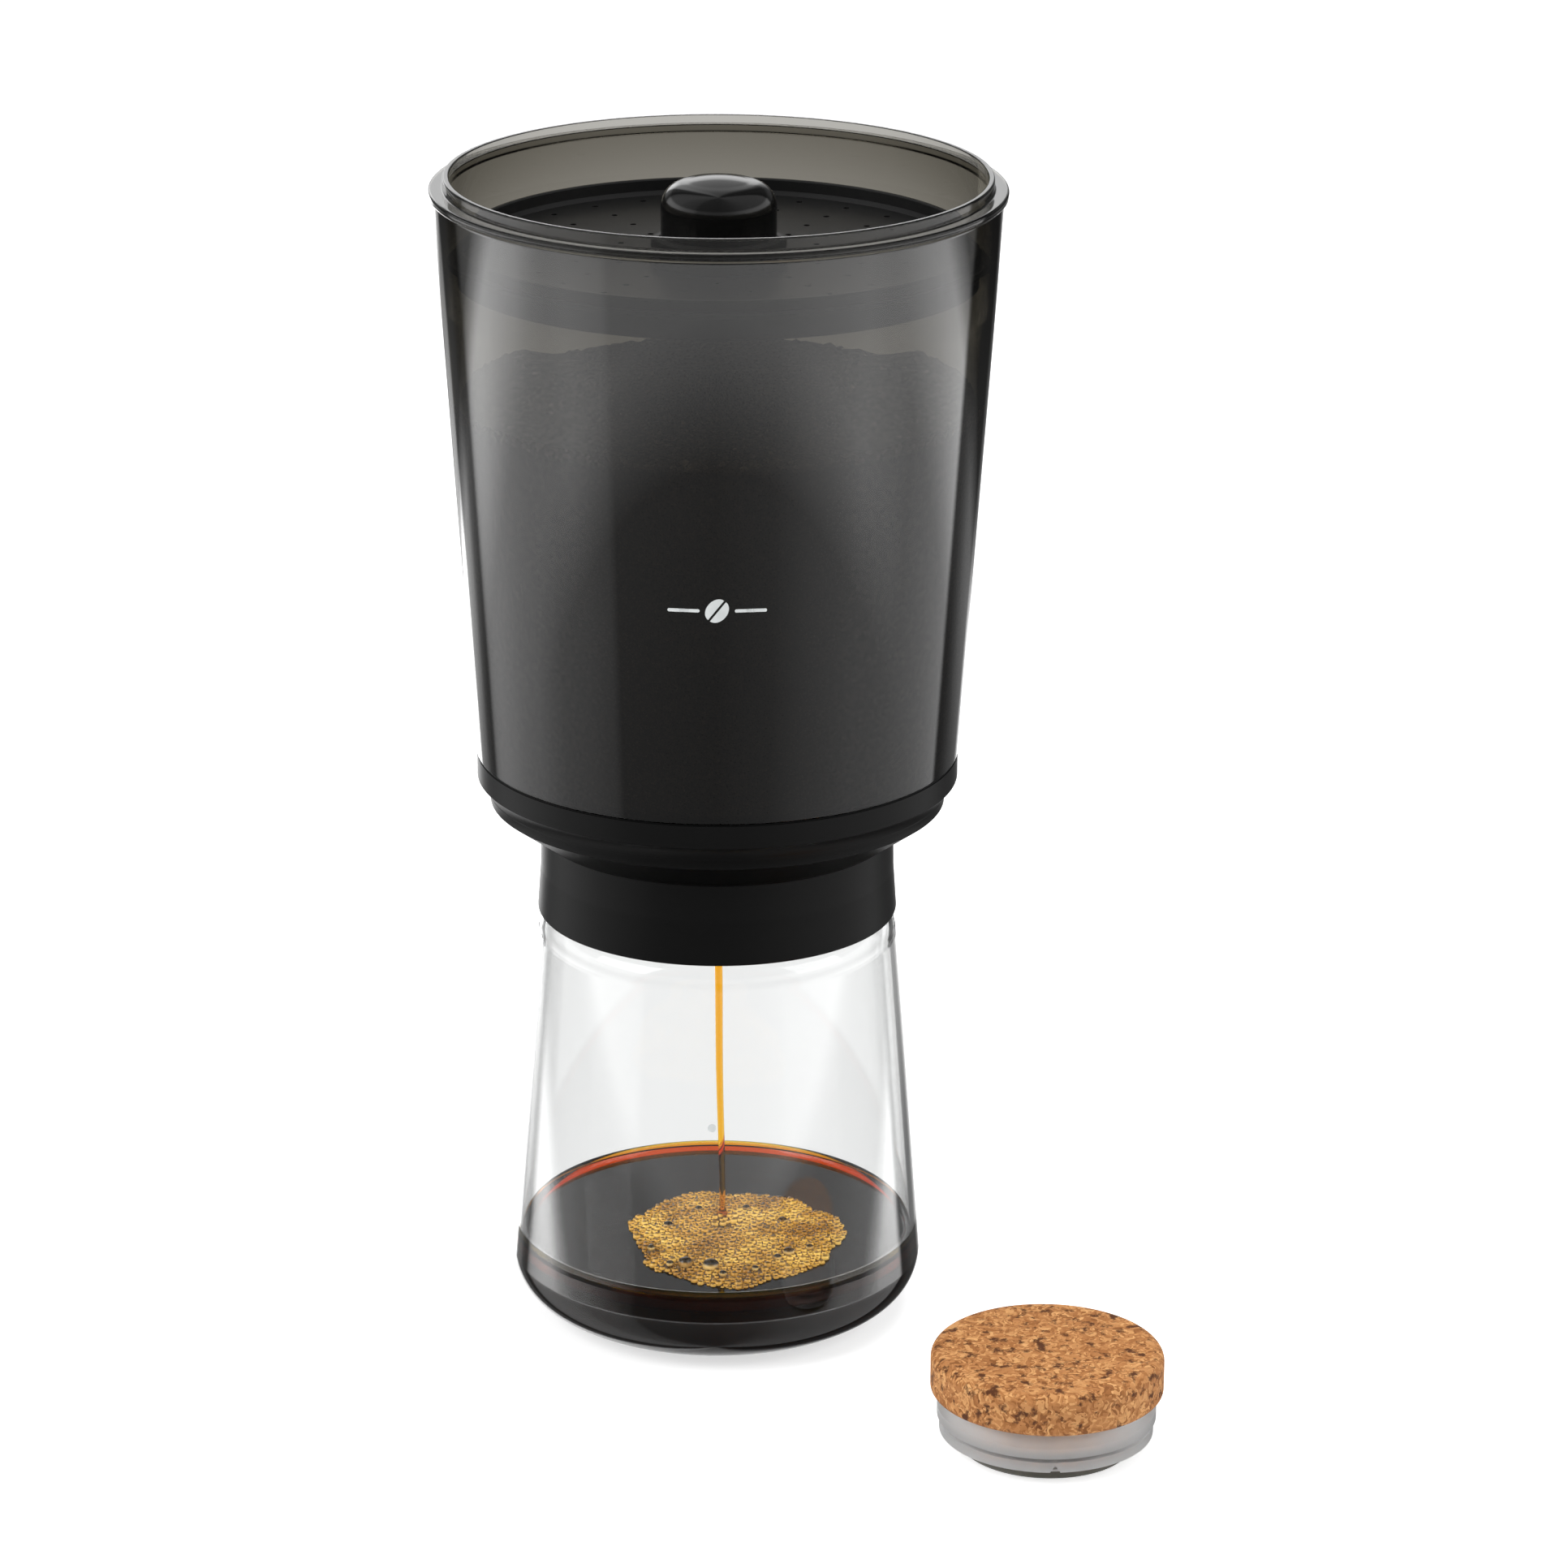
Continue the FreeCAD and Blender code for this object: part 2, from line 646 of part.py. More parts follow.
def make_valve():
    disc_foot = "deck_top - seat_lip + valve_travel + valve_clear"
    disc_top = disc_foot + " + disc_thick"
    cap_top = disc_top + " + cap_thick"
    cup_top = "stem_foot + cup_thick"
    pad_top = "rim_height + rim_pad_thick"
    turned_body("valve_stem", [
        ("0", "stem_foot"),
        ("stem_collar", "stem_foot"),
        ("stem_collar", cup_top),
        ("stem_radius", cup_top + " + stem_taper"),
        ("stem_radius", disc_foot + " - stem_flare_rise"),
        ("stem_collar + stem_flare", disc_foot),
        ("stem_radius", disc_foot),
        ("stem_radius", cap_top + " - cap_skin"),
        ("0", cap_top + " - cap_skin"),
    ])
    turned_body("valve_disc", [
        ("stem_radius", disc_foot),
        ("disc_radius - disc_edge", disc_foot),
        ("disc_radius", disc_foot + " + disc_edge"),
        ("disc_radius - disc_draft", disc_top),
        ("stem_radius", disc_top),
    ])
    turned_body("valve_cap", [
        ("stem_radius", disc_top),
        ("cap_radius", disc_top),
        ("cap_radius - cap_draft", cap_top),
        ("0", cap_top),
        ("0", cap_top + " - cap_skin"),
        ("stem_radius", cap_top + " - cap_skin"),
    ])
    lever = new_body("valve_spider")
    arm = new_sketch(lever, "spider_arm_outline")
    ring_top = "stop_rib_foot"
    outline(arm, [
        ("stem_collar", "stem_foot"),
        ("cup_outer", "stem_foot"),
        ("ring_inner + spoke_overlap", pad_top),
        ("ring_inner + spoke_overlap", ring_top),
        ("ring_inner - spoke_depth", ring_top),
        ("coil_radius + wire_radius + cup_gap", cup_top),
        ("stem_collar", cup_top),
    ])
    pad = add_pad(lever, "spider_arm", arm, "spoke_width", True)
    upright = new_sketch(lever, "spider_axis", "XY_Plane")
    add_repeat(lever, "spider_arms", pad, upright, "spoke_count")
    add_turned(lever, "spring_cup", [
        ("cup_inner", "stem_foot"),
        ("cup_outer", "stem_foot"),
        ("cup_outer", cup_top),
        ("cup_inner", cup_top),
    ])
    add_turned(lever, "rim_ring", [
        ("ring_inner", pad_top),
        ("ring_outer", pad_top),
        ("ring_outer", ring_top + " - ring_edge"),
        ("ring_outer - ring_edge", ring_top),
        ("ring_inner", ring_top),
    ])
    turned_body("rim_pad", [
        ("mouth_radius - pad_overhang", "rim_height"),
        ("ring_outer - pad_inset", "rim_height"),
        ("ring_outer - pad_inset", pad_top),
        ("mouth_radius - pad_overhang", pad_top),
    ])


def arc_midpoint(start, control, end):
    """Middle of the arc whose end tangents meet at the control point."""
    middle = (start + end) / 2
    half = (end - start).Length / 2
    bulge = control - middle
    angle = math.atan2(bulge.Length, half)
    return middle + bulge.normalize() * (half * math.tan(angle / 2))


def biarc(start, start_way, end, end_way):
    """Two arcs that leave start and reach end along the given directions."""
    gap = end - start
    both = start_way + end_way
    bend = 2 * (1 - start_way.dot(end_way))
    along = gap.dot(both)
    reach = (math.sqrt(along * along + bend * gap.dot(gap)) - along) / bend
    first = start + start_way * reach
    last = end - end_way * reach
    join = (first + last) / 2
    return [
        Part.Arc(start, arc_midpoint(start, first, join), join).toShape(),
        Part.Arc(join, arc_midpoint(join, last, end), end).toShape(),
    ]


def make_valve_spring():
    """Round wire spring in one unbroken tube, with a straight upright leg at each end."""
    wire = size("wire_radius")
    radius = size("coil_radius")
    foot = size("stem_foot + cup_thick")
    top = size("deck_under")
    leg = size("coil_leg")
    turns = int(size("coil_turns"))
    bend = size("wire_bend")
    low = foot + leg + bend
    high = top - leg - bend
    steps = 4 * turns
    pitch_angle = math.atan2((high - low) / turns, 2 * math.pi * radius)
    centres = []
    ways = []
    for step in range(steps + 1):
        angle = step * math.pi / 2
        height = low + (high - low) * step / steps
        centres.append(Vector(radius * math.cos(angle), radius * math.sin(angle), height))
        flat = Vector(-math.sin(angle), math.cos(angle), 0) * math.cos(pitch_angle)
        ways.append(flat + Vector(0, 0, math.sin(pitch_angle)))
    lift = Vector(0, 0, 1)
    foot_bend = centres[0] - Vector(0, bend, bend)
    top_bend = centres[-1] + Vector(0, bend, bend)
    foot_leg = Vector(foot_bend.x, foot_bend.y, foot)
    top_leg = Vector(top_bend.x, top_bend.y, top)
    edges = [Part.LineSegment(foot_leg, foot_bend).toShape()]
    edges += biarc(foot_bend, lift, centres[0], ways[0])
    for step in range(steps):
        edges += biarc(centres[step], ways[step], centres[step + 1], ways[step + 1])
    edges += biarc(centres[-1], ways[-1], top_bend, lift)
    edges.append(Part.LineSegment(top_bend, top_leg).toShape())
    path = Part.Wire(edges)
    section = Part.Wire([Part.Circle(foot_leg, lift, wire).toShape()])
    tube = path.makePipeShell([section], True, False)
    spring = doc.addObject("Part::Feature", "valve_spring")
    spring.Label = "valve_spring"
    spring.Shape = tube
    SOLID_BODIES.append(spring)
    expected = math.pi * wire * wire * path.Length
    print("spring volume over section times length:", round(tube.Volume / expected, 4))
    samples = path.discretize(Distance=wire / 2)
    apart = 4 * wire
    least = min(
        (samples[one] - samples[two]).Length
        for one in range(0, len(samples), 2)
        for two in range(one + int(2 * apart / wire) + 4, len(samples), 2)
    )
    print("spring's least gap to itself:", round(least - 2 * wire, 3), "mm")


def make_rainmaker():
    flange_top = "tray_seat_height + tray_flange_thick"
    floor_under = "tray_floor - tray_floor_thick"
    screw_room = "tray_floor + screw_length - tray_floor_thick + screw_end_gap"
    tray = new_body("rainmaker_tray")
    add_turned(tray, "tray_turned", [
        ("0", floor_under),
        ("tray_skirt_bore", floor_under),
        ("tray_skirt_bore", "tray_skirt_foot"),
        ("tray_skirt_radius - tray_edge", "tray_skirt_foot"),
        ("tray_skirt_radius", "tray_skirt_foot + tray_edge"),
        ("tray_skirt_radius", "tray_seat_height"),
        ("tray_flange_radius", "tray_seat_height"),
        ("tray_flange_radius", flange_top + " - tray_flange_edge"),
        ("tray_flange_radius - tray_flange_edge", flange_top),
        ("tray_radius", flange_top),
        ("tray_radius", "tray_top - tray_edge"),
        ("tray_radius - tray_edge", "tray_top"),
        ("tray_bore + tray_inner_edge", "tray_top"),
        ("tray_bore", "tray_top - tray_inner_edge"),
        ("tray_bore", "tray_floor + tray_corner"),
        ("tray_bore - tray_corner", "tray_floor"),
        ("boss_radius", "tray_floor"),
        ("boss_radius", "boss_top - boss_edge"),
        ("boss_radius - boss_edge", "boss_top"),
        ("boss_bore + tray_inner_edge", "boss_top"),
        ("boss_bore", "boss_top - tray_inner_edge"),
        ("boss_bore", "tray_floor"),
        ("0", "tray_floor"),
    ])
    above_floor = "tray_floor + hole_clear"
    through_floor = "tray_floor_thick + 2 * hole_clear"
    add_hole(tray, "screw_hole", "0", "screw_radius + screw_gap", above_floor, through_floor)
    for ring in range(int(size("rain_rings"))):
        across = "rain_ring_first + %d * rain_ring_step" % ring
        holes = "rain_holes_first + %d * rain_holes_more" % ring
        name = "rain_holes_%d" % (ring + 1)
        hole, circle = add_hole(tray, name, across, "rain_hole", above_floor, through_floor)
        add_repeat(tray, name + "_ring", hole, circle, holes)
    turned_body("rainmaker_knob", [
        ("screw_radius + screw_fit", "tray_floor"),
        ("knob_radius - knob_foot_edge", "tray_floor"),
        ("knob_radius", "tray_floor + knob_foot_edge"),
        ("knob_radius", "knob_top - knob_crown - knob_curve"),
        ("knob_radius - knob_curve", "knob_top - knob_crown", "knob_curve", 1),
        ("0", "knob_top", "(knob_radius - knob_curve)^2 / (2 * knob_crown) + knob_crown / 2", 1),
        ("0", screw_room),
        ("screw_radius + screw_fit", screw_room),
    ])
    turned_body("knob_screw", [
        ("0", floor_under + " - screw_head_thick"),
        ("screw_head_radius - screw_head_draft", floor_under + " - screw_head_thick"),
        ("screw_head_radius", floor_under + " - screw_head_band"),
        ("screw_head_radius", floor_under),
        ("screw_radius", floor_under),
        ("screw_radius", floor_under + " + screw_length"),
        ("0", floor_under + " + screw_length"),
    ])


def place_stopper(body):
    body.setExpression("Placement.Base.x", bound("stopper_side"))
    body.setExpression("Placement.Base.y", bound("-stopper_front"))


def make_stopper():
    cork = turned_body("stopper_cork", [
        ("0", "plug_top + core_gap"),
        ("plug_radius + core_gap", "plug_top + core_gap"),
        ("plug_radius + core_gap", "seal_foot + disc_gap"),
        ("core_radius", "seal_foot + disc_gap"),
        ("core_radius", "cork_foot"),
        ("cork_radius - cork_foot_edge", "cork_foot"),
        ("cork_radius", "cork_foot + cork_foot_edge"),
        ("cork_radius", "cork_top - cork_top_curve"),
        ("cork_radius - cork_top_curve", "cork_top", "cork_top_curve", 1),
        ("0", "cork_top"),
    ])
    seal = turned_body("stopper_seal", [
        ("core_radius + core_gap", "seal_foot"),
        ("seal_neck", "seal_foot"),
        ("seal_neck", "lower_fin_foot + fin_droop"),
        ("lower_fin_radius", "lower_fin_foot"),
        ("lower_fin_radius", "lower_fin_top"),
        ("seal_neck", "lower_fin_top + fin_droop"),
        ("seal_neck", "upper_fin_foot + fin_droop"),
        ("upper_fin_radius", "upper_fin_foot"),
        ("upper_fin_radius", "upper_fin_top"),
        ("seal_shoulder", "cork_foot - seal_shoulder_depth"),
        ("seal_shoulder", "cork_foot"),
        ("core_radius + core_gap", "cork_foot"),
    ])
    cutter = new_sketch(seal, "notch_outline")
    cutter.setExpression("AttachmentOffset.Base.z", bound("seal_neck - notch_overlap"))
    outline(cutter, [
        ("notch_side - notch_width / 2", "lower_fin_foot - notch_clear"),
        ("notch_side + notch_width / 2", "lower_fin_foot - notch_clear"),
        ("notch_side", "lower_fin_foot + notch_height"),
    ])
    before = seal.Shape.Volume
    notch = seal.newObject("PartDesign::Pocket", "notch")
    notch.Profile = cutter
    notch.Reversed = True
    notch.setExpression("Length", bound("lower_fin_radius - seal_neck + 3 * notch_overlap"))
    doc.recompute()
    if seal.Shape.Volume >= before:
        raise ValueError("the notch cuts nothing")
    disc = turned_body("stopper_disc", [
        ("0", "0"),
        ("plug_disc_radius - plug_disc_edge", "0"),
        ("plug_disc_radius", "plug_disc_edge"),
        ("plug_disc_radius", "seal_foot"),
        ("plug_radius", "seal_foot"),
        ("plug_radius", "plug_top"),
        ("0", "plug_top"),
    ])
    for body in (cork, seal, disc):
        place_stopper(body)


make_carafe_glass()
make_brewing_container()
make_base_bowl()
make_base_skirt()
make_container_seal()
make_filter()
make_valve_seat()
make_valve()
make_valve_spring()
make_rainmaker()
make_stopper()
doc.recompute()

for item in doc.Objects:
    if "Invalid" in item.State or "Error" in item.State:
        raise ValueError("%s failed: %s" % (item.Name, item.State))
for body in SOLID_BODIES:
    if body.Shape.isNull() or not body.Shape.isValid():
        raise ValueError(body.Label + " has no valid shape")
    if len(body.Shape.Solids) != 1:
        raise ValueError("%s has %d solids" % (body.Label, len(body.Shape.Solids)))

os.makedirs("parts", exist_ok=True)
for body in SOLID_BODIES:
    body.Shape.exportStep("parts/%s.step" % body.Label)
    print(body.Label, round(body.Shape.Volume, 1), "mm3")
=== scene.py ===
import math
import random

import bmesh
import bpy
from mathutils import Matrix, Vector


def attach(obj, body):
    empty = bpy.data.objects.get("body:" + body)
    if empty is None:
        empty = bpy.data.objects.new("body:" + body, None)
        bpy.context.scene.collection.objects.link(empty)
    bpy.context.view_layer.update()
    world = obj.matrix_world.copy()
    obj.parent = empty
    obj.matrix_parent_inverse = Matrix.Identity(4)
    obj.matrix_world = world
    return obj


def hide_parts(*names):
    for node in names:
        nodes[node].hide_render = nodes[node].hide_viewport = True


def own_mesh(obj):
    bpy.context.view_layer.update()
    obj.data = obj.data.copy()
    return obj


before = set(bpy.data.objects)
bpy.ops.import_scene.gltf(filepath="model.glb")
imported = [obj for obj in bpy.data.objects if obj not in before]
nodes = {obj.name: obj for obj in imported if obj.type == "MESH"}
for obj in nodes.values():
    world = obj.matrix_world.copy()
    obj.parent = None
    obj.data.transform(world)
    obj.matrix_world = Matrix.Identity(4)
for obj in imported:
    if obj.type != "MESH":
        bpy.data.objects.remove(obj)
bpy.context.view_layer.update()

MM = 0.001
TURN = 2 * math.pi
ON_AXIS = 1e-6

# Camera, worked out from the ellipses of the rim, the joint line and the coffee's surface.
PHOTO_SIZE = 1932
LENS_PIXELS = 7356.0
SENSOR_WIDTH = 36.0
CAMERA_DISTANCE = 1.5
CAMERA_PITCH = math.radians(18.897)
CAMERA_ROLL = math.radians(0.35)
TARGET = Vector((0.01672, 0.0, 0.1398))

# Sizes shared with the solids, in millimetres; the ends of a sloping wall are (radius, height).
WALL_FOOT = (60.25, 149.6)
WALL_TOP = (69.6, 290.9)
BORE_RADIUS = 55.2
INNER_FOOT = (57.25, 152.0)
INNER_TOP = (65.15, 265.0)
CARAFE_BELLY = (52.2, 14.9)
CARAFE_SHOULDER = (45.4, 101.0)
STOPPER_PLACE = (81.8, -87.4)

# The grounds: they reach a little into the wall, so that no gap shows through it.
GROUNDS_SEED = 7
GROUNDS_FOOT = 140.2
GROUNDS_TOP = 242.0
GROUNDS_OVERLAP = 0.25
GRAIN_ROUGHNESS = 0.36
COARSE_GRAIN = 0.9
COARSE_SHARE = 0.015
MOUND_HEIGHT = 3.0
MOUND_WIDTH = 36.0

# The coffee and the stream that falls into it.
COFFEE_LEVEL = 20.8
STREAM_TOP = 115.0
STREAM_FOOT = (1.4, 1.4)
STREAM_RADIUS = 0.62
STREAM_SWELL = 0.44

# The foam: an ellipse with a ragged edge, and a hollow where the stream falls in.
FOAM_SEED = 23
FOAM_CENTRE = (4.9, -10.6)
FOAM_HALF = (26.6, 30.0)
FOAM_DEPTH = 1.5
FOAM_LIFT = 0.05
FOAM_HOLLOW = (2.0, -4.1)
HOLLOW_DEPTH = 2.3
HOLLOW_RADIUS = 3.1
HOLLOW_STRETCH = 1.25
# Waves of the ragged edge: depth, how many go round, and where they start.
FOAM_WAVES = [(0.05, 3, 0.6), (0.035, 7, 0.0), (0.02, 13, 2.0)]
# Small bubbles: their radius, and how many places are tried for that size.
BUBBLE_TRIES = [(0.95, 260), (0.8, 900), (0.65, 3000), (0.5, 6000), (0.36, 6000)]
BUBBLE_CELL = 1.6
BUBBLE_RISE = 0.85
FINE_BUBBLE = 0.85
# Large bubbles: place and radius.
BIG_BUBBLES = [
    ((-7.4, -29.8), 1.9), ((-1.0, -31.5), 2.2), ((-12.3, -5.6), 1.3), ((17.0, -2.3), 1.3),
    ((18.5, -22.4), 1.5), ((-16.3, -20.3), 1.0), ((15.7, -25.9), 1.1), ((2.1, -36.4), 1.0),
    ((23.8, -19.2), 1.0), ((-4.7, 5.1), 1.1), ((7.6, 6.0), 1.0), ((-11.3, -30.2), 1.0),
    ((10.1, -32.9), 0.9),
]

# The marks: heights above the table, and places across the front.
FILL_MARK_HEIGHT = 205.0
FILL_DASHES = {"fill_mark_left": (-10.9, -4.0), "fill_mark_right": (5.2, 12.1)}
DASH_HALF = 0.42
BEAN_PLACE = 0.55
DOT_HEIGHT = 66.1
DOT_PLACE = -0.6
DOT_RADIUS = 1.05
MARK_LIFT = 0.06

# What a glossy surface sees round it: degrees to the right of the camera's side, and brightness.
STUDIO_BANDS = [
    (-180, 1.6), (-172, 1.7), (-165, 2.6), (-157, 2.4), (-154, 0.42), (-145, 0.36), (-140, 0.17),
    (-134, 0.12), (-130, 0.8), (-126, 1.05), (-120, 1.3), (-111, 1.5), (-92, 1.65), (-76, 1.25),
    (-60, 1.12), (-49, 0.9), (-45, 0.5), (0, 0.42), (25, 0.6), (42, 0.95), (66, 1.3), (95, 1.3),
    (127, 1.1), (130, 0.1), (134, 0.09), (146, 0.16), (160, 0.13), (169, 0.7), (174, 1.6), (180, 1.6),
]
# How bright those bands are at each height: sine of the angle above the horizon, and a factor.
STUDIO_HEIGHTS = [
    (-1.0, 0.4), (-0.5, 0.7), (-0.433, 0.8), (-0.40, 1.0), (-0.375, 1.25), (-0.35, 1.5), (-0.335, 2.4),
    (-0.322, 3.0), (-0.312, 3.0), (-0.30, 0.5), (-0.27, 0.25), (-0.252, 0.15), (-0.243, 1.6),
    (-0.20, 1.6), (-0.1, 0.5), (0.0, 0.3), (0.15, 1.2), (0.3, 1.2), (0.38, 0.45), (1.0, 0.5),
]
# A low glow on the camera's side: where it stands round the object, and where in height.
GLOW_BANDS = [(-180, 0.0), (-92, 0.0), (-66, 1.0), (66, 1.0), (92, 0.0), (180, 0.0)]
GLOW_HEIGHTS = [
    (-1.0, 0.0), (-0.396, 0.0), (-0.387, 0.7), (-0.375, 1.4), (-0.347, 1.4), (-0.338, 0.0), (1.0, 0.0),
]
# The sky for light that a surface scatters: in the open, and out through glass or the smoked wall.
DIFFUSE_SKY = 0.42
INSIDE_SKY = 3.0

# The floor, in metres; the drop keeps it clear of the carafe's foot.
FLOOR_HALF = 6.0
FLOOR_DROP = 0.0002
FLOOR_COLOUR = (0.9, 0.9, 0.9, 1.0)
FLOOR_GLOW = 0.62

# Lamps: name, place, aim, width and height, and power.
LAMPS = [
    ("left_softbox", (-1.1, -0.5, 0.9), (0, 0, 0.12), (1.0, 0.9), 12.0),
    ("right_softbox", (1.2, -0.4, 0.8), (0, 0, 0.12), (0.9, 0.9), 7.0),
    ("top_softbox", (0.0, 0.1, 1.5), (0, 0, 0.0), (1.3, 1.3), 14.0),
]


def between(start, end, share):
    """The point that lies a share of the way from start to end."""
    return tuple(a + (b - a) * share for a, b in zip(start, end))


def taper_radius(foot, top, height):
    """Radius of a sloping wall at a height; foot and top are (radius, height)."""
    share = (height - foot[1]) / (top[1] - foot[1])
    return foot[0] + (top[0] - foot[0]) * share


def arc(centre, radius, first, last, steps):
    """Points of an arc; angles in degrees from the first axis towards the second."""
    points = []
    for step in range(steps + 1):
        angle = math.radians(first + (last - first) * step / steps)
        points.append((centre[0] + radius * math.cos(angle), centre[1] + radius * math.sin(angle)))
    return points


def arc_to(start, end, radius, turn, steps=8):
    """Arc from start to end; turn is 1 for left-hand travel and -1 for right-hand travel."""
    across = end[0] - start[0]
    up = end[1] - start[1]
    chord = math.hypot(across, up)
    rise = math.sqrt(max(radius * radius - chord * chord / 4, 0.0))
    centre_r = (start[0] + end[0]) / 2 - up / chord * rise * turn
    centre_z = (start[1] + end[1]) / 2 + across / chord * rise * turn
    first = math.atan2(start[1] - centre_z, start[0] - centre_r)
    last = math.atan2(end[1] - centre_z, end[0] - centre_r)
    while turn > 0 and last < first:
        last += TURN
    while turn < 0 and last > first:
        last -= TURN
    return arc((centre_r, centre_z), radius, math.degrees(first), math.degrees(last), steps)


def path(*corners):
    """Points of an outline; a corner (across, up, radius, turn) is reached along an arc."""
    points = [corners[0][:2]]
    for corner in corners[1:]:
        if len(corner) == 4:
            points += arc_to(points[-1], corner[:2], corner[2], corner[3])[1:]
        else:
            points.append(corner)
    return points


def braced(outline, near=0.4):
    """Add points near the ends of long straight runs, which keep a run's shading straight."""
    points = []
    for start, end in zip(outline, outline[1:]):
        points.append(start)
        length = math.hypot(end[0] - start[0], end[1] - start[1])
        if length > 5 * near and max(start[0], end[0]) > 0:
            points.append(between(start, end, near / length))
            points.append(between(start, end, 1 - near / length))
    points.append(outline[-1])
    return points


def link(name, data):
    piece = bpy.data.objects.new(name, data)
    bpy.context.scene.collection.objects.link(piece)
    return piece


def dress(piece, material, body, slot, *replaced):
    piece.data.materials.append(material)
    if replaced:
        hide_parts(*replaced)
    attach(piece, body)


def corner_at(build, x, y, z):
    """New corner at a place in millimetres."""
    return build.verts.new((x * MM, y * MM, z * MM))


def ring(build, radius, height, segments, place=(0.0, 0.0)):
    """Corners of a level circle round a place, or its centre alone where the radius is nought."""
    if radius < ON_AXIS:
        return [corner_at(build, place[0], place[1], height)]
    corners = []
    for step in range(segments):
        angle = TURN * step / segments
        x = place[0] + radius * math.cos(angle)
        y = place[1] + radius * math.sin(angle)
        corners.append(corner_at(build, x, y, height))
    return corners


def bridge(build, low, high):
    """Faces between two rings, of which one may be a single point; none between two points."""
    count = max(len(low), len(high))
    if count == 1:
        return
    for step in range(count):
        following = (step + 1) % count
        corners = [low[step % len(low)], low[following % len(low)],
                   high[following % len(high)], high[step % len(high)]]
        build.faces.new(list(dict.fromkeys(corners)))


def into_mesh(name, build, closed=True):
    """Turn a build into a mesh; the faces of a closed one are made to look outward."""
    if closed:
        bmesh.ops.recalc_face_normals(build, faces=build.faces)
    mesh = bpy.data.meshes.new(name)
    build.to_mesh(mesh)
    build.free()
    return mesh


def smooth(mesh, sharp_angle=None):
    """Smooth shading, with sharp edges only where an angle is given, in degrees."""
    for face in mesh.polygons:
        face.use_smooth = True
    if sharp_angle is not None:
        mesh.set_sharp_from_angle(angle=math.radians(sharp_angle))
    return mesh


def lathe(name, outline, segments=192, place=(0.0, 0.0), closed=True):
    """Turn an outline of (radius, height) in millimetres round an upright axis at place.

    A closed outline returns to its first point; any other begins and ends on the axis.
    """
    build = bmesh.new()
    rings = [ring(build, radius, height, segments, place) for radius, height in braced(outline)]
    for low, high in zip(rings, rings[1:]):
        bridge(build, low, high)
    if closed:
        bridge(build, rings[-1], rings[0])
    return link(name, smooth(into_mesh(name, build), sharp_angle=35.0))


def node(tree, kind, **values):
    made = tree.nodes.new(kind)
    for key, value in values.items():
        setattr(made, key, value)
    return made


def connect(tree, value, socket):
    """Link a socket to another, or set it where the value is a number or a colour."""
    if isinstance(value, (int, float, tuple)):
        socket.default_value = value
    else:
        tree.links.new(value, socket)


def set_inputs(made, values):
    for name, value in values.items():
        made.inputs[name].default_value = value


def new_material(name):
    """A material with its nodes, its shader and the coordinates of the piece."""
    material = bpy.data.materials.new(name)
    material.use_nodes = True
    tree = material.node_tree
    source = node(tree, "ShaderNodeTexCoord").outputs["Object"]
    return material, tree, tree.nodes["Principled BSDF"], source


def grey(level):
    return (level, level, level)


def noise(tree, source, scale, detail, roughness=0.5, output="Fac"):
    texture = node(tree, "ShaderNodeTexNoise")
    set_inputs(texture, {"Scale": scale, "Detail": detail, "Roughness": roughness})
    tree.links.new(source, texture.inputs["Vector"])
    return texture.outputs[output]


def grains(tree, source, scale):
    """Cells of one colour each, for grounds and cork."""
    texture = node(tree, "ShaderNodeTexVoronoi")
    texture.inputs["Scale"].default_value = scale
    tree.links.new(source, texture.inputs["Vector"])
    return texture


def ramp(tree, source, stops):
    """Colour ramp; stops are (position, colour)."""
    made = node(tree, "ShaderNodeValToRGB")
    elements = made.color_ramp.elements
    while len(elements) < len(stops):
        elements.new(0.5)
    for element, (position, colour) in zip(elements, stops):
        element.position = position
        element.color = (*colour, 1.0)
    tree.links.new(source, made.inputs["Fac"])
    return made.outputs["Color"]


def map_range(tree, source, low, high, to_low, to_high):
    made = node(tree, "ShaderNodeMapRange")
    set_inputs(made, {"From Min": low, "From Max": high, "To Min": to_low, "To Max": to_high})
    tree.links.new(source, made.inputs["Value"])
    return made.outputs["Result"]


def maths(tree, operation, first, second):
    """One sum; first and second are sockets or numbers."""
    made = node(tree, "ShaderNodeMath", operation=operation)
    connect(tree, first, made.inputs[0])
    connect(tree, second, made.inputs[1])
    return made.outputs[0]


def blend_values(tree, share, first, second):
    made = node(tree, "ShaderNodeMix", data_type="FLOAT")
    for name, value in (("Factor", share), ("A", first), ("B", second)):
        connect(tree, value, made.inputs[name])
    return made.outputs["Result"]


def blend_colours(tree, share, first, second):
    made = node(tree, "ShaderNodeMixRGB")
    for name, value in (("Fac", share), ("Color1", first), ("Color2", second)):
        connect(tree, value, made.inputs[name])
    return made.outputs["Color"]


def blend_shaders(tree, share, first, second):
    made = node(tree, "ShaderNodeMixShader")
    for socket, value in zip(made.inputs, (share, first, second)):
        tree.links.new(value, socket)
    return made.outputs[0]


def bump(tree, shader, source, strength, distance):
    made = node(tree, "ShaderNodeBump")
    set_inputs(made, {"Strength": strength, "Distance": distance})
    tree.links.new(source, made.inputs["Height"])
    tree.links.new(made.outputs["Normal"], shader.inputs["Normal"])


def facing_up(tree, low, high):
    """From 0 to 1 as the surface turns upward; low and high are the normal's heights."""
    geometry = node(tree, "ShaderNodeNewGeometry")
    split = node(tree, "ShaderNodeSeparateXYZ")
    tree.links.new(geometry.outputs["Normal"], split.inputs[0])
    return map_range(tree, split.outputs["Z"], low, high, 0.0, 1.0)


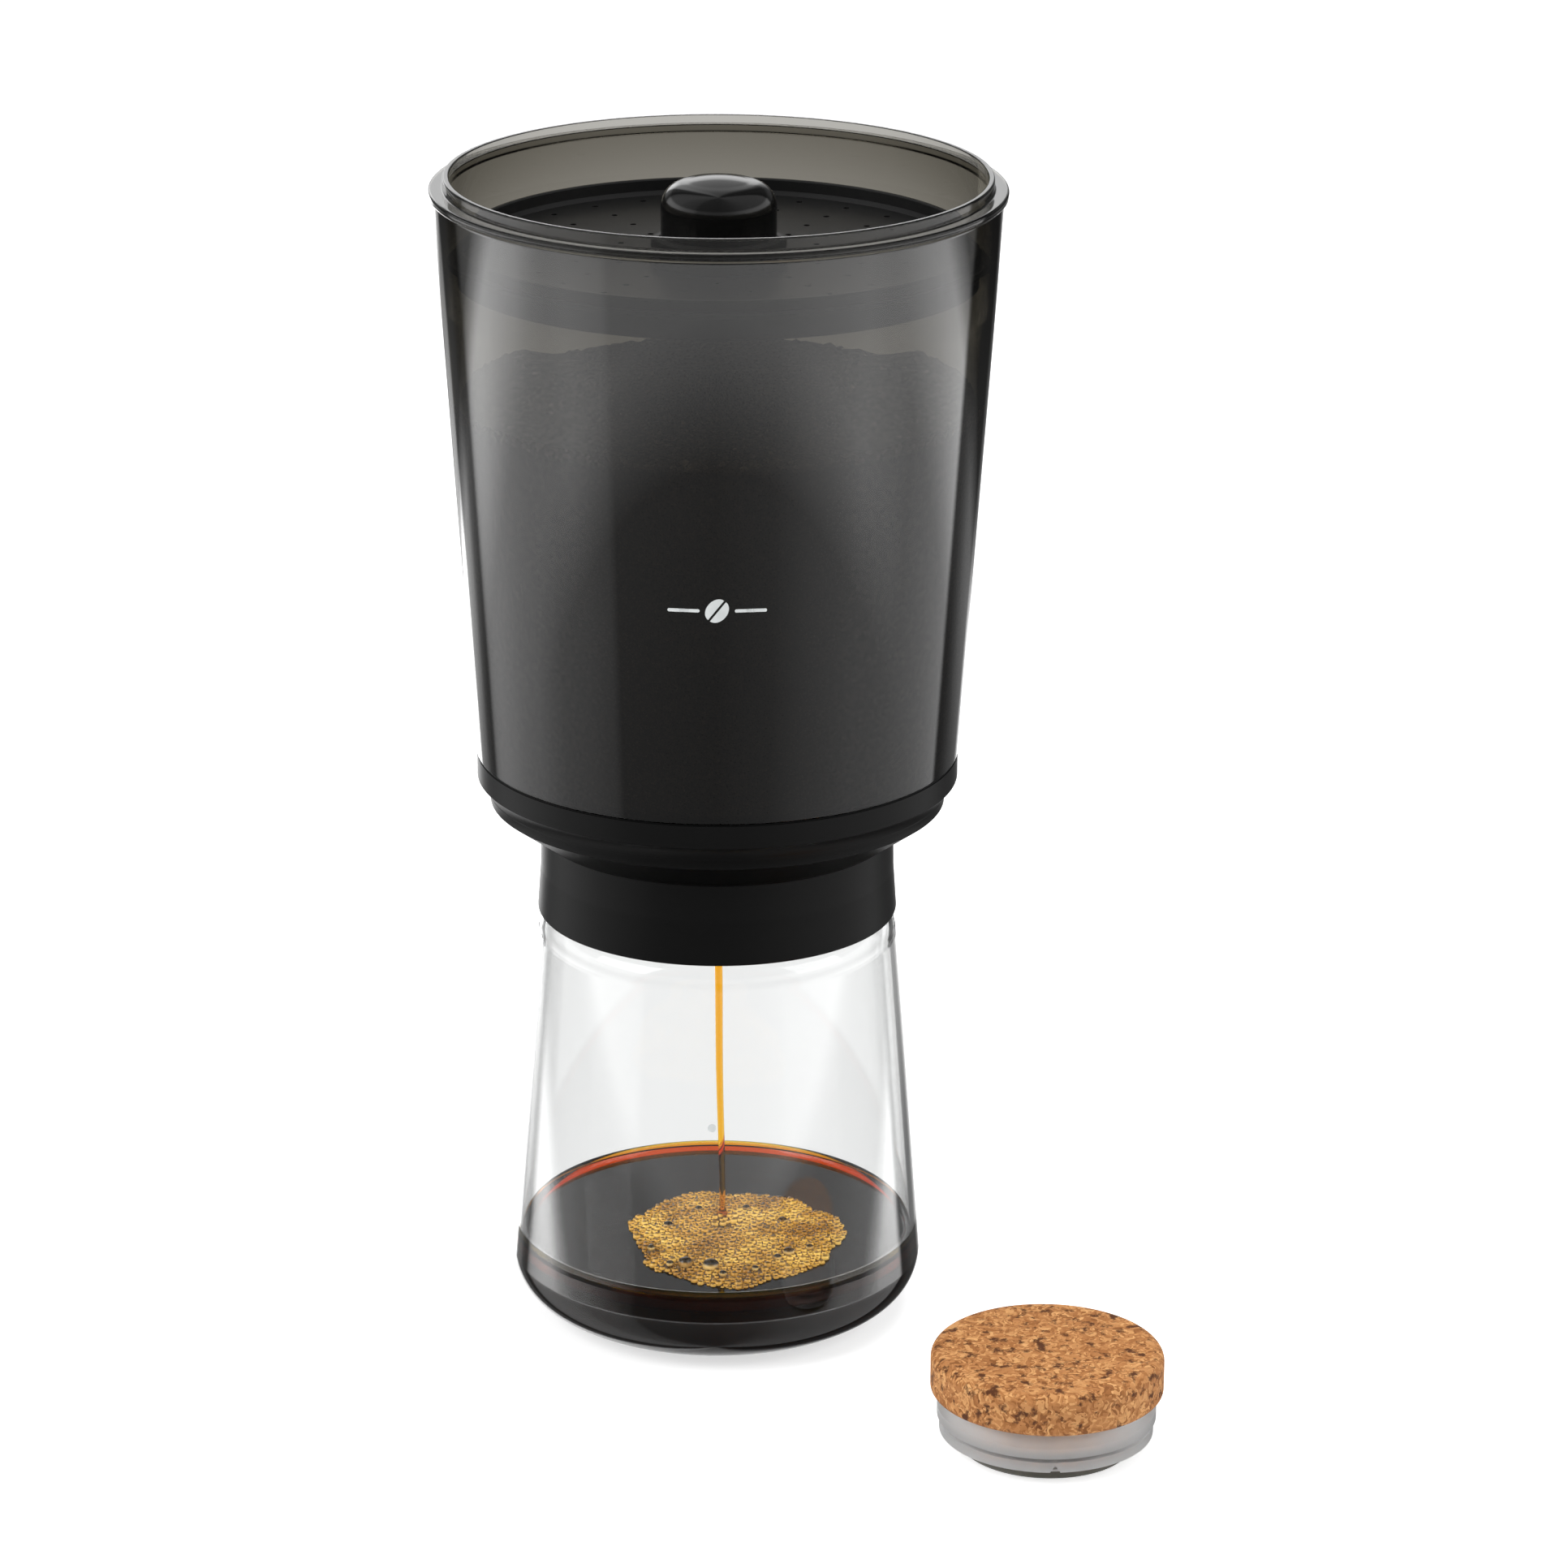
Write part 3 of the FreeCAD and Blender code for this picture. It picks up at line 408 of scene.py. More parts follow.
def mottle(tree, shader, source, scale, detail, dark, pale, ends=(0.3, 0.7)):
    """A cloudy colour between dark and pale."""
    cloud = noise(tree, source, scale, detail)
    colour = ramp(tree, cloud, [(ends[0], dark), (ends[1], pale)])
    tree.links.new(colour, shader.inputs["Base Color"])


def uneven_sheen(tree, shader, source, scale, detail, low, high):
    """A roughness that wanders between low and high."""
    cloud = noise(tree, source, scale, detail)
    tree.links.new(map_range(tree, cloud, 0.3, 0.7, low, high), shader.inputs["Roughness"])


def absorb(tree, colour, density):
    """Tint the light that passes through the material."""
    tint = node(tree, "ShaderNodeVolumeAbsorption")
    set_inputs(tint, {"Color": (*colour, 1.0), "Density": density})
    tree.links.new(tint.outputs["Volume"], tree.nodes["Material Output"].inputs["Volume"])


def clear_glass():
    material, tree, shader, source = new_material("clear_glass")
    set_inputs(shader, {"Base Color": (0.975, 0.98, 0.978, 1.0), "Transmission Weight": 1.0, "IOR": 1.47})
    uneven_sheen(tree, shader, source, scale=18.0, detail=1.0, low=0.0, high=0.003)
    return material


def smoked_plastic():
    material, tree, shader, source = new_material("smoked_plastic")
    set_inputs(shader, {"Base Color": (0.97, 0.97, 0.97, 1.0), "Transmission Weight": 1.0, "IOR": 1.54})
    uneven_sheen(tree, shader, source, scale=9.0, detail=1.0, low=0.0, high=0.004)
    absorb(tree, (0.117, 0.085, 0.0), 505.0)
    return material


def moulded_plastic(name, level, gloss, sheen, grain_scale, grain_depth):
    """Black moulded plastic: an uneven sheen and a fine grain."""
    material, tree, shader, source = new_material(name)
    set_inputs(shader, {"IOR": 1.5, "Specular IOR Level": gloss})
    mottle(tree, shader, source, 28.0, 3.0, grey(level * 0.85), grey(level * 1.15))
    uneven_sheen(tree, shader, source, scale=9.0, detail=2.0, low=sheen[0], high=sheen[1])
    bump(tree, shader, noise(tree, source, grain_scale, 2.0), 0.35, grain_depth)
    return material


def satin_black():
    return moulded_plastic("black_plastic", level=0.004, gloss=0.11, sheen=(0.34, 0.42),
                           grain_scale=2600.0, grain_depth=0.00002)


def matte_black():
    return moulded_plastic("matte_black_plastic", level=0.008, gloss=0.3, sheen=(0.36, 0.44),
                           grain_scale=2600.0, grain_depth=0.00003)


def gloss_black():
    return moulded_plastic("gloss_black_plastic", level=0.004, gloss=0.5, sheen=(0.10, 0.14),
                           grain_scale=900.0, grain_depth=0.000002)


def tinted_liquid(name, ripple_scale, ripple_detail, roughest, colour, density):
    material, tree, shader, source = new_material(name)
    set_inputs(shader, {"Base Color": (1.0, 1.0, 1.0, 1.0), "Transmission Weight": 1.0, "IOR": 1.34})
    uneven_sheen(tree, shader, source, ripple_scale, ripple_detail, 0.0, roughest)
    absorb(tree, colour, density)
    return material


def coffee_liquid():
    return tinted_liquid("coffee_liquid", ripple_scale=55.0, ripple_detail=1.0, roughest=0.012,
                         colour=(0.9733, 0.8444, 0.0), density=4500.0)


def coffee_stream():
    return tinted_liquid("coffee_stream", ripple_scale=90.0, ripple_detail=2.0, roughest=0.05,
                         colour=(0.995, 0.86, 0.0), density=3000.0)


def coffee_depth():
    """The coffee below its clear skin, where no light comes back."""
    material, tree, shader, source = new_material("coffee_depth")
    mottle(tree, shader, source, 35.0, 2.0, (0.004, 0.0016, 0.0006), (0.009, 0.003, 0.001))
    set_inputs(shader, {"Roughness": 0.9, "Specular IOR Level": 0.0})
    return material


def coffee_foam():
    """Small bubbles: a dark clear crown of painted shade, and a bright amber side of painted light."""
    material, tree, shader, source = new_material("coffee_foam")
    patches = noise(tree, source, 110.0, 3.0)
    # Painted light: the amber side glows as if light came through the bubble; the crown below is painted
    # shade.
    side = ramp(tree, patches, [
        (0.34, (0.42, 0.20, 0.03)),
        (0.50, (0.70, 0.39, 0.065)),
        (0.66, (0.95, 0.64, 0.15)),
    ])
    shaded_crown = ramp(tree, patches, [
        (0.34, (0.05, 0.024, 0.006)),
        (0.66, (0.22, 0.115, 0.022)),
    ])
    colour = blend_colours(tree, facing_up(tree, 0.72, 0.93), side, shaded_crown)
    tree.links.new(colour, shader.inputs["Base Color"])
    shader.inputs["Roughness"].default_value = 0.12
    return material


def bubble_film():
    """Large bubbles: dark and clear on top, as painted shade, with an amber rim of painted light."""
    material, tree, shader, source = new_material("bubble_film")
    patches = noise(tree, source, 180.0, 2.0)
    # Painted light and shade by which way the surface faces: a glowing amber rim, and a dark top.
    rim = ramp(tree, patches, [(0.35, (0.45, 0.24, 0.06)), (0.65, (0.85, 0.60, 0.22))])
    shaded_crown = (0.035, 0.024, 0.012, 1.0)
    colour = blend_colours(tree, facing_up(tree, 0.30, 0.62), rim, shaded_crown)
    tree.links.new(colour, shader.inputs["Base Color"])
    shader.inputs["Roughness"].default_value = 0.06
    return material


def foam_skin():
    """The wet brown layer in the gaps between the bubbles."""
    material, tree, shader, source = new_material("foam_skin")
    mottle(tree, shader, source, 500.0, 3.0, (0.05, 0.022, 0.006), (0.30, 0.16, 0.045), (0.35, 0.65))
    shader.inputs["Roughness"].default_value = 0.3
    return material


def coffee_grounds():
    """Painted shade below, where the wall hides them, and paler on the top."""
    material, tree, shader, source = new_material("coffee_grounds")
    cells = grains(tree, source, 900.0)
    # Painted shade: grains under the top, hidden by the smoked wall, take the darker colours.
    shaded_grains = ramp(tree, cells.outputs["Color"], [
        (0.0, (0.016, 0.010, 0.007)),
        (0.55, (0.034, 0.024, 0.018)),
        (1.0, (0.06, 0.044, 0.034)),
    ])
    top_grains = ramp(tree, cells.outputs["Color"], [
        (0.0, (0.05, 0.04, 0.034)),
        (0.5, (0.11, 0.092, 0.08)),
        (0.9, (0.2, 0.17, 0.15)),
        (1.0, (0.45, 0.38, 0.32)),
    ])
    split = node(tree, "ShaderNodeSeparateXYZ")
    tree.links.new(source, split.inputs[0])
    height = map_range(tree, split.outputs["Z"], 0.2385, 0.2405, 0.0, 1.0)
    tree.links.new(blend_colours(tree, height, shaded_grains, top_grains), shader.inputs["Base Color"])
    shader.inputs["Roughness"].default_value = 0.75
    bump(tree, shader, cells.outputs["Distance"], 0.3, 0.0006)
    return material


def cork_surface():
    """Pressed granules of brown, with dark flecks between them."""
    material, tree, shader, source = new_material("cork")
    warp = noise(tree, source, 220.0, 2.0, output="Color")
    cells = grains(tree, blend_colours(tree, 0.012, source, warp), 820.0)
    granules = ramp(tree, cells.outputs["Color"], [
        (0.0, (0.17, 0.055, 0.014)),
        (0.22, (0.36, 0.138, 0.04)),
        (0.55, (0.53, 0.232, 0.078)),
        (1.0, (0.82, 0.45, 0.18)),
    ])
    flecks = noise(tree, source, 330.0, 4.0, roughness=0.6)
    clear_of_flecks = ramp(tree, flecks, [(0.36, grey(0.0)), (0.45, grey(1.0))])
    fleck_colour = (0.10, 0.032, 0.01, 1.0)
    colour = blend_colours(tree, clear_of_flecks, fleck_colour, granules)
    tree.links.new(colour, shader.inputs["Base Color"])
    shader.inputs["Roughness"].default_value = 0.82
    bump(tree, shader, flecks, 0.7, 0.0006)
    return material


def milky_silicone():
    material, tree, shader, source = new_material("milky_silicone")
    set_inputs(shader, {"Base Color": (0.86, 0.86, 0.86, 1.0), "Transmission Weight": 0.72, "IOR": 1.41})
    uneven_sheen(tree, shader, source, scale=60.0, detail=2.0, low=0.36, high=0.5)
    return material


def grey_silicone():
    material, tree, shader, source = new_material("grey_silicone")
    mottle(tree, shader, source, 50.0, 2.0, grey(0.16), grey(0.22))
    shader.inputs["Roughness"].default_value = 0.5
    return material


def woven_steel():
    """Fine woven mesh: two crossed waves darken the gaps with painted shade."""
    material, tree, shader, source = new_material("steel_mesh")
    waves = []
    for axis in ("X", "Y"):
        wave = node(tree, "ShaderNodeTexWave", bands_direction=axis)
        wave.inputs["Scale"].default_value = 420.0
        tree.links.new(source, wave.inputs["Vector"])
        waves.append(wave.outputs["Fac"])
    height = maths(tree, "MAXIMUM", waves[0], waves[1])
    # The dark end of the ramp is painted shade in the gaps between the wires.
    colour = ramp(tree, height, [(0.45, grey(0.03)), (0.8, (0.62, 0.6, 0.57))])
    tree.links.new(colour, shader.inputs["Base Color"])
    set_inputs(shader, {"Metallic": 1.0, "Roughness": 0.34})
    bump(tree, shader, height, 0.6, 0.0002)
    return material


def drawn_steel():
    material, tree, shader, source = new_material("spring_steel")
    mottle(tree, shader, source, 260.0, 2.0, grey(0.46), grey(0.64))
    set_inputs(shader, {"Metallic": 1.0, "Roughness": 0.28})
    return material


def plug_plastic():
    material, tree, shader, source = new_material("stopper_plug")
    mottle(tree, shader, source, 70.0, 3.0, (0.10, 0.095, 0.075), (0.16, 0.15, 0.12))
    shader.inputs["Roughness"].default_value = 0.4
    return material


def pale_print():
    material, tree, shader, source = new_material("pale_print")
    mottle(tree, shader, source, 300.0, 2.0, (0.66, 0.69, 0.69), (0.74, 0.77, 0.77))
    shader.inputs["Roughness"].default_value = 0.35
    return material


GLASS = clear_glass()
SMOKE = smoked_plastic()
SATIN_BLACK = satin_black()
MATTE_BLACK = matte_black()
GLOSS_BLACK = gloss_black()
COFFEE = coffee_liquid()
STREAM = coffee_stream()
FOAM = coffee_foam()
FOAM_SKIN = foam_skin()
FILM = bubble_film()
DEPTH = coffee_depth()
GROUNDS = coffee_grounds()
CORK = cork_surface()
MILKY = milky_silicone()
SILICONE = grey_silicone()
MESH = woven_steel()
STEEL = drawn_steel()
PLUG = plug_plastic()
PRINT = pale_print()


def dress_nodes():
    """Better materials for the solids that stay."""
    chosen = {
        "container_seal": SILICONE, "filter_frame": SATIN_BLACK, "filter_mesh": MESH,
        "filter_gasket": SILICONE, "valve_seat": SILICONE, "valve_stem": SATIN_BLACK,
        "valve_disc": SILICONE, "valve_cap": SATIN_BLACK, "valve_spider": SATIN_BLACK,
        "rim_pad": SILICONE, "valve_spring": STEEL, "rainmaker_tray": MATTE_BLACK,
        "knob_screw": STEEL, "stopper_seal": MILKY, "stopper_disc": PLUG,
    }
    for name, material in chosen.items():
        mesh = nodes[name].data
        for index in range(len(mesh.materials)):
            mesh.materials[index] = material


def make_carafe():
    """One wall, drawn up the outside, over the lip and down the inside."""
    outside = path(
        (0.0, 0.0), (33.8, 0.0), (46.8, 4.36, 21.56, 1), (*CARAFE_BELLY, 13.1, 1),
        CARAFE_SHOULDER, (36.4, 110.0, 9.0, 1), (30.6, 111.0), (28.4, 113.2, 2.3, -1),
        (28.4, 119.8), (27.2, 121.0, 1.2, 1), (26.4, 121.0), (25.8, 120.4, 0.6, 1),
    )
    inside = path(
        (25.8, 112.2), (29.2, 108.6, 4.2, 1), (36.4, 108.2), (43.6, 101.0, 7.2, -1),
        (50.4, 14.9), (45.6, 6.2, 11.3, -1), (33.8, 3.0, 19.76, -1), (0.0, 3.0),
    )
    piece = lathe("carafe_clear", outside + inside, 256, closed=False)
    dress(piece, GLASS, "carafe", "clear_glass", "carafe_glass")


def make_container():
    """The smoked wall with its foot, its flange and the lip above it."""
    outline = path(
        (BORE_RADIUS, 141.5), (57.2, 141.5), (57.2, 149.85), (60.0, 149.85), (60.25, 150.1, 0.25, 1),
        WALL_TOP, (69.9, 291.4, 0.6, -1), (70.0, 291.4), (70.6, 292.1, 0.7, 1),
        (70.6, 292.7), (69.9, 293.4, 0.7, 1), (67.5, 293.4), (67.1, 293.8, 0.4, -1),
        (67.1, 295.8), (66.6, 296.3, 0.5, 1), (66.0, 296.3), (65.7, 296.0, 0.3, 1),
        (65.7, 277.0), (65.15, 277.0), INNER_TOP, INNER_FOOT, (BORE_RADIUS, 149.0),
    )
    piece = lathe("container_wall", outline, 256)
    dress(piece, SMOKE, "brewer", "smoked_plastic", "brewing_container")


def make_base():
    """The bowl under the container, with its funnel, its outlet and the ledge for the filter."""
    outline = path(
        (57.5, 149.6), (59.9, 149.6), (60.2, 149.3, 0.3, 1), (60.2, 143.6), (57.0, 137.2, 8.0, 1),
        (45.6, 129.1), (44.35, 128.2, 2.4, 1), (41.85, 128.2), (41.85, 122.0), (39.85, 122.0),
        (39.85, 126.4), (28.6, 126.4), (28.6, 124.4), (24.6, 124.4), (24.6, 126.4), (8.0, 126.4),
        (8.0, 115.6), (6.0, 115.6), (6.0, 127.0), (10.0, 127.0), (10.0, 129.2), (44.0, 130.6),
        (51.0, 135.4), (51.0, 137.3), (55.3, 137.3), (55.3, 139.8), (57.5, 139.8),
    )
    piece = lathe("base_shell", outline, 192)
    dress(piece, SATIN_BLACK, "brewer", "black_plastic", "base_bowl")


def make_skirt():
    outline = path(
        (42.15, 128.2), (44.35, 128.2), (44.5, 119.0), (45.25, 108.4), (44.45, 107.6, 0.8, -1),
        (43.25, 107.6), (43.05, 107.8), (42.3, 119.0),
    )
    piece = lathe("skirt_shell", outline, 192)
    dress(piece, SATIN_BLACK, "brewer", "black_plastic", "base_skirt")


def make_knob():
    outline = path(
        (1.55, 277.1), (13.8, 277.1), (14.2, 277.5), (14.2, 288.2), (8.0, 294.4, 6.2, 1),
        (0.0, 295.4, 32.5, 1), (0.0, 286.0), (1.55, 286.0),
    )
    piece = lathe("knob_dome", outline, 128)
    dress(piece, GLOSS_BLACK, "rainmaker", "gloss_black_plastic", "rainmaker_knob")


def make_stopper():
    outline = path(
        (0.0, 9.2), (10.2, 9.2), (10.2, 3.4), (20.8, 3.4), (20.8, 14.2), (27.3, 14.2),
        (28.5, 15.4, 1.2, 1), (28.5, 22.3), (25.9, 24.9, 2.6, 1), (0.0, 24.9),
    )
    cork = lathe("cork_cap", outline, 160, STOPPER_PLACE, closed=False)
    dress(cork, CORK, "stopper", "cork", "stopper_cork")


def grounds_height(x, y):
    """Height of the top of the grounds: slow waves, and a mound that swells towards the back."""
    wave = math.sin(x * 0.11 + 1.3) * math.cos(y * 0.09 - 0.4) * 0.5
    back = min(max((y + 15.0) / 60.0, 0.0), 1.0)
    mound = MOUND_HEIGHT * math.exp(-(x / MOUND_WIDTH) ** 2) * back * back * (3 - 2 * back)
    return GROUNDS_TOP + wave + mound


def grounds_side(build, segments):
    """Rings up the wall, from the filter to just below the top."""
    foot = BORE_RADIUS + GROUNDS_OVERLAP
    outline = [(0.0, GROUNDS_FOOT), (foot, GROUNDS_FOOT), (foot, 149.0),
               (INNER_FOOT[0] + GROUNDS_OVERLAP, INNER_FOOT[1])]
    for height in range(160, 236, 8):
        outline.append((taper_radius(INNER_FOOT, INNER_TOP, height) + GROUNDS_OVERLAP, height))
    return [ring(build, radius, height, segments) for radius, height in outline]


def make_grounds():
    """Grounds that fill the container up to a rough top."""
    random.seed(GROUNDS_SEED)
    segments = 288
    steps = 90
    build = bmesh.new()
    rings = grounds_side(build, segments)
    top_radius = taper_radius(INNER_FOOT, INNER_TOP, GROUNDS_TOP) + GROUNDS_OVERLAP
    for index in range(steps):
        radius = top_radius * (1 - index / steps)
        corners = []
        for step in range(segments):
            angle = TURN * step / segments
            x = radius * math.cos(angle)
            y = radius * math.sin(angle)
            rough = random.gauss(0.0, GRAIN_ROUGHNESS)
            if random.random() < COARSE_SHARE:
                rough += COARSE_GRAIN
            corners.append(corner_at(build, x, y, grounds_height(x, y) + rough))
        rings.append(corners)
    rings.append([corner_at(build, 0.0, 0.0, GROUNDS_TOP)])
    for low, high in zip(rings, rings[1:]):
        bridge(build, low, high)
    piece = link("coffee_grounds", smooth(into_mesh("coffee_grounds", build)))
    dress(piece, GROUNDS, "brewer", "black_plastic")


def make_coffee():
    """The pool, drawn almost to the outside of the glass, as a full vessel looks, and its dark depth."""
    level = COFFEE_LEVEL
    pool = lathe("coffee_pool", path(
        (0.0, 0.3), (33.8, 0.3), (46.5, 4.5, 21.3, 1), (51.9, 14.9, 12.8, 1), (51.5, level - 0.2),
        (50.2, level + 0.5), (50.1, level + 2.0), (49.75, level + 2.0), (47.8, level, 2.3, 1),
        (0.0, level),
    ), 192, closed=False)
    dress(pool, COFFEE, "carafe", "clear_glass")
    core = lathe("coffee_depth", path(
        (0.0, 0.6), (33.8, 0.6), (46.2, 4.7, 21.0, 1), (51.6, 14.9, 12.5, 1), (51.4, level - 3.0),
        (47.0, level - 2.5), (41.0, level - 1.5), (35.0, level - 0.4), (0.0, level - 0.3),
    ), 160, closed=False)
    dress(core, DEPTH, "carafe", "clear_glass")


def stream_radius(share):
    """The stream thins as it falls, and flares where it meets the coffee."""
    radius = STREAM_SWELL * (1 - share) ** 0.5 + STREAM_RADIUS
    return radius + max(share - 0.97, 0.0) * 40


def make_stream():
    """The thin stream that runs from the drain to the coffee."""
    steps = 60
    sides = 20
    foot = COFFEE_LEVEL + 0.2
    build = bmesh.new()
    rings = []
    for step in range(steps + 1):
        share = step / steps
        sway = 0.25 * math.sin(share * 9.0) * share
        place = (STREAM_FOOT[0] * share + sway, STREAM_FOOT[1] * share)
        height = STREAM_TOP + (foot - STREAM_TOP) * share
        rings.append(ring(build, stream_radius(share), height, sides, place))
    for low, high in zip(rings, rings[1:]):
        bridge(build, low, high)
    build.faces.new(list(reversed(rings[0])))
    build.faces.new(rings[-1])
    piece = link("coffee_stream", smooth(into_mesh("coffee_stream", build)))
    dress(piece, STREAM, "carafe", "clear_glass")
    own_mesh(piece)


def foam_place(angle, share):
    """Place in the foam: a share of the way from its centre to its ragged edge."""
    reach = 1.0
    for depth, count, start in FOAM_WAVES:
        reach += depth * math.sin(count * angle + start)
    reach *= share
    return (FOAM_CENTRE[0] + FOAM_HALF[0] * reach * math.cos(angle),
            FOAM_CENTRE[1] + FOAM_HALF[1] * reach * math.sin(angle))


def foam_height(x, y, share):
    """Height of the foam's skin: low at its ragged edge, with a hollow."""
    away = math.hypot((x - FOAM_HOLLOW[0]) / HOLLOW_STRETCH, y - FOAM_HOLLOW[1])
    hollow = HOLLOW_DEPTH * math.exp(-(away / HOLLOW_RADIUS) ** 2)
    return COFFEE_LEVEL + FOAM_LIFT + (FOAM_DEPTH - hollow) * (1 - share ** 3)


def make_foam_skin():
    """The skin ends just inside the ragged edge."""
    build = bmesh.new()
    segments = 160
    rows = 26
    inset = 0.985
    grid = []
    for row in range(1, rows + 1):
        share = row / rows
        corners = []
        for step in range(segments):
            x, y = foam_place(TURN * step / segments, share * inset)
            corners.append(corner_at(build, x, y, foam_height(x, y, share)))
        grid.append(corners)
    middle = corner_at(build, *FOAM_CENTRE, foam_height(*FOAM_CENTRE, 0.0))
    for step in range(segments):
        following = (step + 1) % segments
        build.faces.new((middle, grid[0][step], grid[0][following]))
        for low, high in zip(grid, grid[1:]):
            build.faces.new((low[step], high[step], high[following], low[following]))
    mesh = into_mesh("foam_skin", build, closed=False)
    dress(link("foam_skin", smooth(mesh)), FOAM_SKIN, "carafe", "clear_glass")


def bubble_cell(x, y):
    return (math.floor(x / BUBBLE_CELL), math.floor(y / BUBBLE_CELL))


def bubbles_near(cells, x, y):
    """The bubbles kept so far in the cell of a place and in the eight round it."""
    column, row = bubble_cell(x, y)
    for i in (-1, 0, 1):
        for j in (-1, 0, 1):
            yield from cells.get((column + i, row + j), ())


def foam_bubbles():
    """Places and sizes of the small bubbles: the largest first, then smaller ones in the gaps."""
    random.seed(FOAM_SEED)
    bubbles = []
    cells = {}
    for radius, tries in BUBBLE_TRIES:
        for _ in range(tries):
            angle = random.uniform(0, TURN)
            share = math.sqrt(random.random())
            x, y = foam_place(angle, share)
            own = radius * random.uniform(0.88, 1.12)
            if any(math.hypot(x - a, y - b) < 0.86 * (own + other)
                   for a, b, other, _share in bubbles_near(cells, x, y)):
                continue
            if any(math.hypot(x - a, y - b) < own + other * 0.95 for (a, b), other in BIG_BUBBLES):
                continue
            bubble = (x, y, own, share)
            bubbles.append(bubble)
            cells.setdefault(bubble_cell(x, y), []).append(bubble)
    return bubbles


def unit_ball(rounds):
    """Corners and faces of a small round ball."""
    build = bmesh.new()
    bmesh.ops.create_icosphere(build, subdivisions=rounds, radius=1.0)
    corners = [tuple(vert.co) for vert in build.verts]
    faces = [tuple(vert.index for vert in face.verts) for face in build.faces]
    build.free()
    return corners, faces


def bubble_raft(name, bubbles, material):
    """One mesh of flattened balls; bubbles are (x, y, radius, share of the way to the edge)."""
    plain = unit_ball(2)
    fine = unit_ball(3)
    corners = []
    faces = []
    for x, y, radius, share in bubbles:
        base = foam_height(x, y, share)
        ball_corners, ball_faces = fine if radius > FINE_BUBBLE else plain
        first = len(corners)
        corners += [
            ((x + radius * a) * MM, (y + radius * b) * MM, (base + BUBBLE_RISE * radius * c) * MM)
            for a, b, c in ball_corners
        ]
        faces += [tuple(first + index for index in face) for face in ball_faces]
    mesh = bpy.data.meshes.new(name)
    mesh.from_pydata(corners, [], faces)
    dress(link(name, smooth(mesh)), material, "carafe", "clear_glass")


def make_foam():
    """A raft of bubbles on a brown skin, with a few large clear ones."""
    make_foam_skin()
    bubble_raft("coffee_foam", foam_bubbles(), FOAM)
    bubble_raft("large_bubbles", [(*place, radius, 0.6) for place, radius in BIG_BUBBLES], FILM)


def wall_patch(name, points, centre_height, foot, top):
    """Flat outline of (across, up) in millimetres, wrapped on the front of a sloping wall."""
    build = bmesh.new()
    corners = []
    for across, up in points:
        height = centre_height + up
        radius = taper_radius(foot, top, height) + MARK_LIFT
        angle = -math.pi / 2 + across / radius
        corners.append(corner_at(build, radius * math.cos(angle), radius * math.sin(angle), height))
    build.faces.new(corners)
    bmesh.ops.triangulate(build, faces=build.faces)
    return link(name, into_mesh(name, build, closed=False))


def rounded_bar(low, high, half):
    return arc((high, 0.0), half, -90, 90, 8) + arc((low, 0.0), half, 90, 270, 8)


def bean_half(side):
    """Half of a leaning oval with a straight slit down its middle; side is 1 or -1."""
    half_width = 2.3
    half_length = 3.1
    half_slit = 0.28
    lean = math.radians(-38)
    points = []
    for step in range(17):
        angle = -math.pi / 2 + math.pi * step / 16
        x = (half_width * math.cos(angle) + half_slit) * side
        y = half_length * math.sin(angle)
        points.append((BEAN_PLACE + x * math.cos(lean) - y * math.sin(lean),
                       x * math.sin(lean) + y * math.cos(lean)))
    return points if side > 0 else points[::-1]


def make_marks():
    """Pale fill mark on the container, and a small level dot on the carafe."""
    outlines = {name: rounded_bar(*ends, DASH_HALF) for name, ends in FILL_DASHES.items()}
    outlines["fill_mark_bean_a"] = bean_half(1)
    outlines["fill_mark_bean_b"] = bean_half(-1)
    for name, points in outlines.items():
        piece = wall_patch(name, points, FILL_MARK_HEIGHT, WALL_FOOT, WALL_TOP)
        dress(piece, PRINT, "brewer", "milky_silicone")
    dot = arc((DOT_PLACE, 0.0), DOT_RADIUS, 0, 360, 24)[:-1]
    piece = wall_patch("level_dot", dot, DOT_HEIGHT, CARAFE_BELLY, CARAFE_SHOULDER)
    dress(piece, PRINT, "carafe", "milky_silicone")


def floor_material():
    """White that keeps a shadow, is plain white seen through glass, and is clear to reflections."""
    material = bpy.data.materials.new("floor_white")
    material.use_nodes = True
    tree = material.node_tree
    tree.nodes.clear()
    rays = node(tree, "ShaderNodeLightPath")
    diffuse = node(tree, "ShaderNodeBsdfDiffuse")
    diffuse.inputs["Color"].default_value = FLOOR_COLOUR
    glow = node(tree, "ShaderNodeEmission")
    strength = maths(tree, "MULTIPLY", rays.outputs["Is Camera Ray"], FLOOR_GLOW)
    tree.links.new(strength, glow.inputs["Strength"])
    shadowed = node(tree, "ShaderNodeAddShader")
    tree.links.new(diffuse.outputs[0], shadowed.inputs[0])
    tree.links.new(glow.outputs[0], shadowed.inputs[1])
    white = node(tree, "ShaderNodeEmission")
    white.inputs["Strength"].default_value = 1.0
    clear = node(tree, "ShaderNodeBsdfTransparent")
    seen = blend_shaders(tree, rays.outputs["Is Transmission Ray"], shadowed.outputs[0], white.outputs[0])
    mirrored = maths(tree, "GREATER_THAN", rays.outputs["Glossy Depth"], 0.5)
    output = node(tree, "ShaderNodeOutputMaterial")
    tree.links.new(blend_shaders(tree, mirrored, seen, clear.outputs[0]), output.inputs["Surface"])
    return material


def make_floor():
    half = FLOOR_HALF
    mesh = bpy.data.meshes.new("floor")
    corners = [(-half, -half, 0.0), (half, -half, 0.0), (half, half, 0.0), (-half, half, 0.0)]
    mesh.from_pydata(corners, [], [(0, 1, 2, 3)])
    floor = link("floor", mesh)
    floor.location.z = -FLOOR_DROP
    floor.data.materials.append(floor_material())


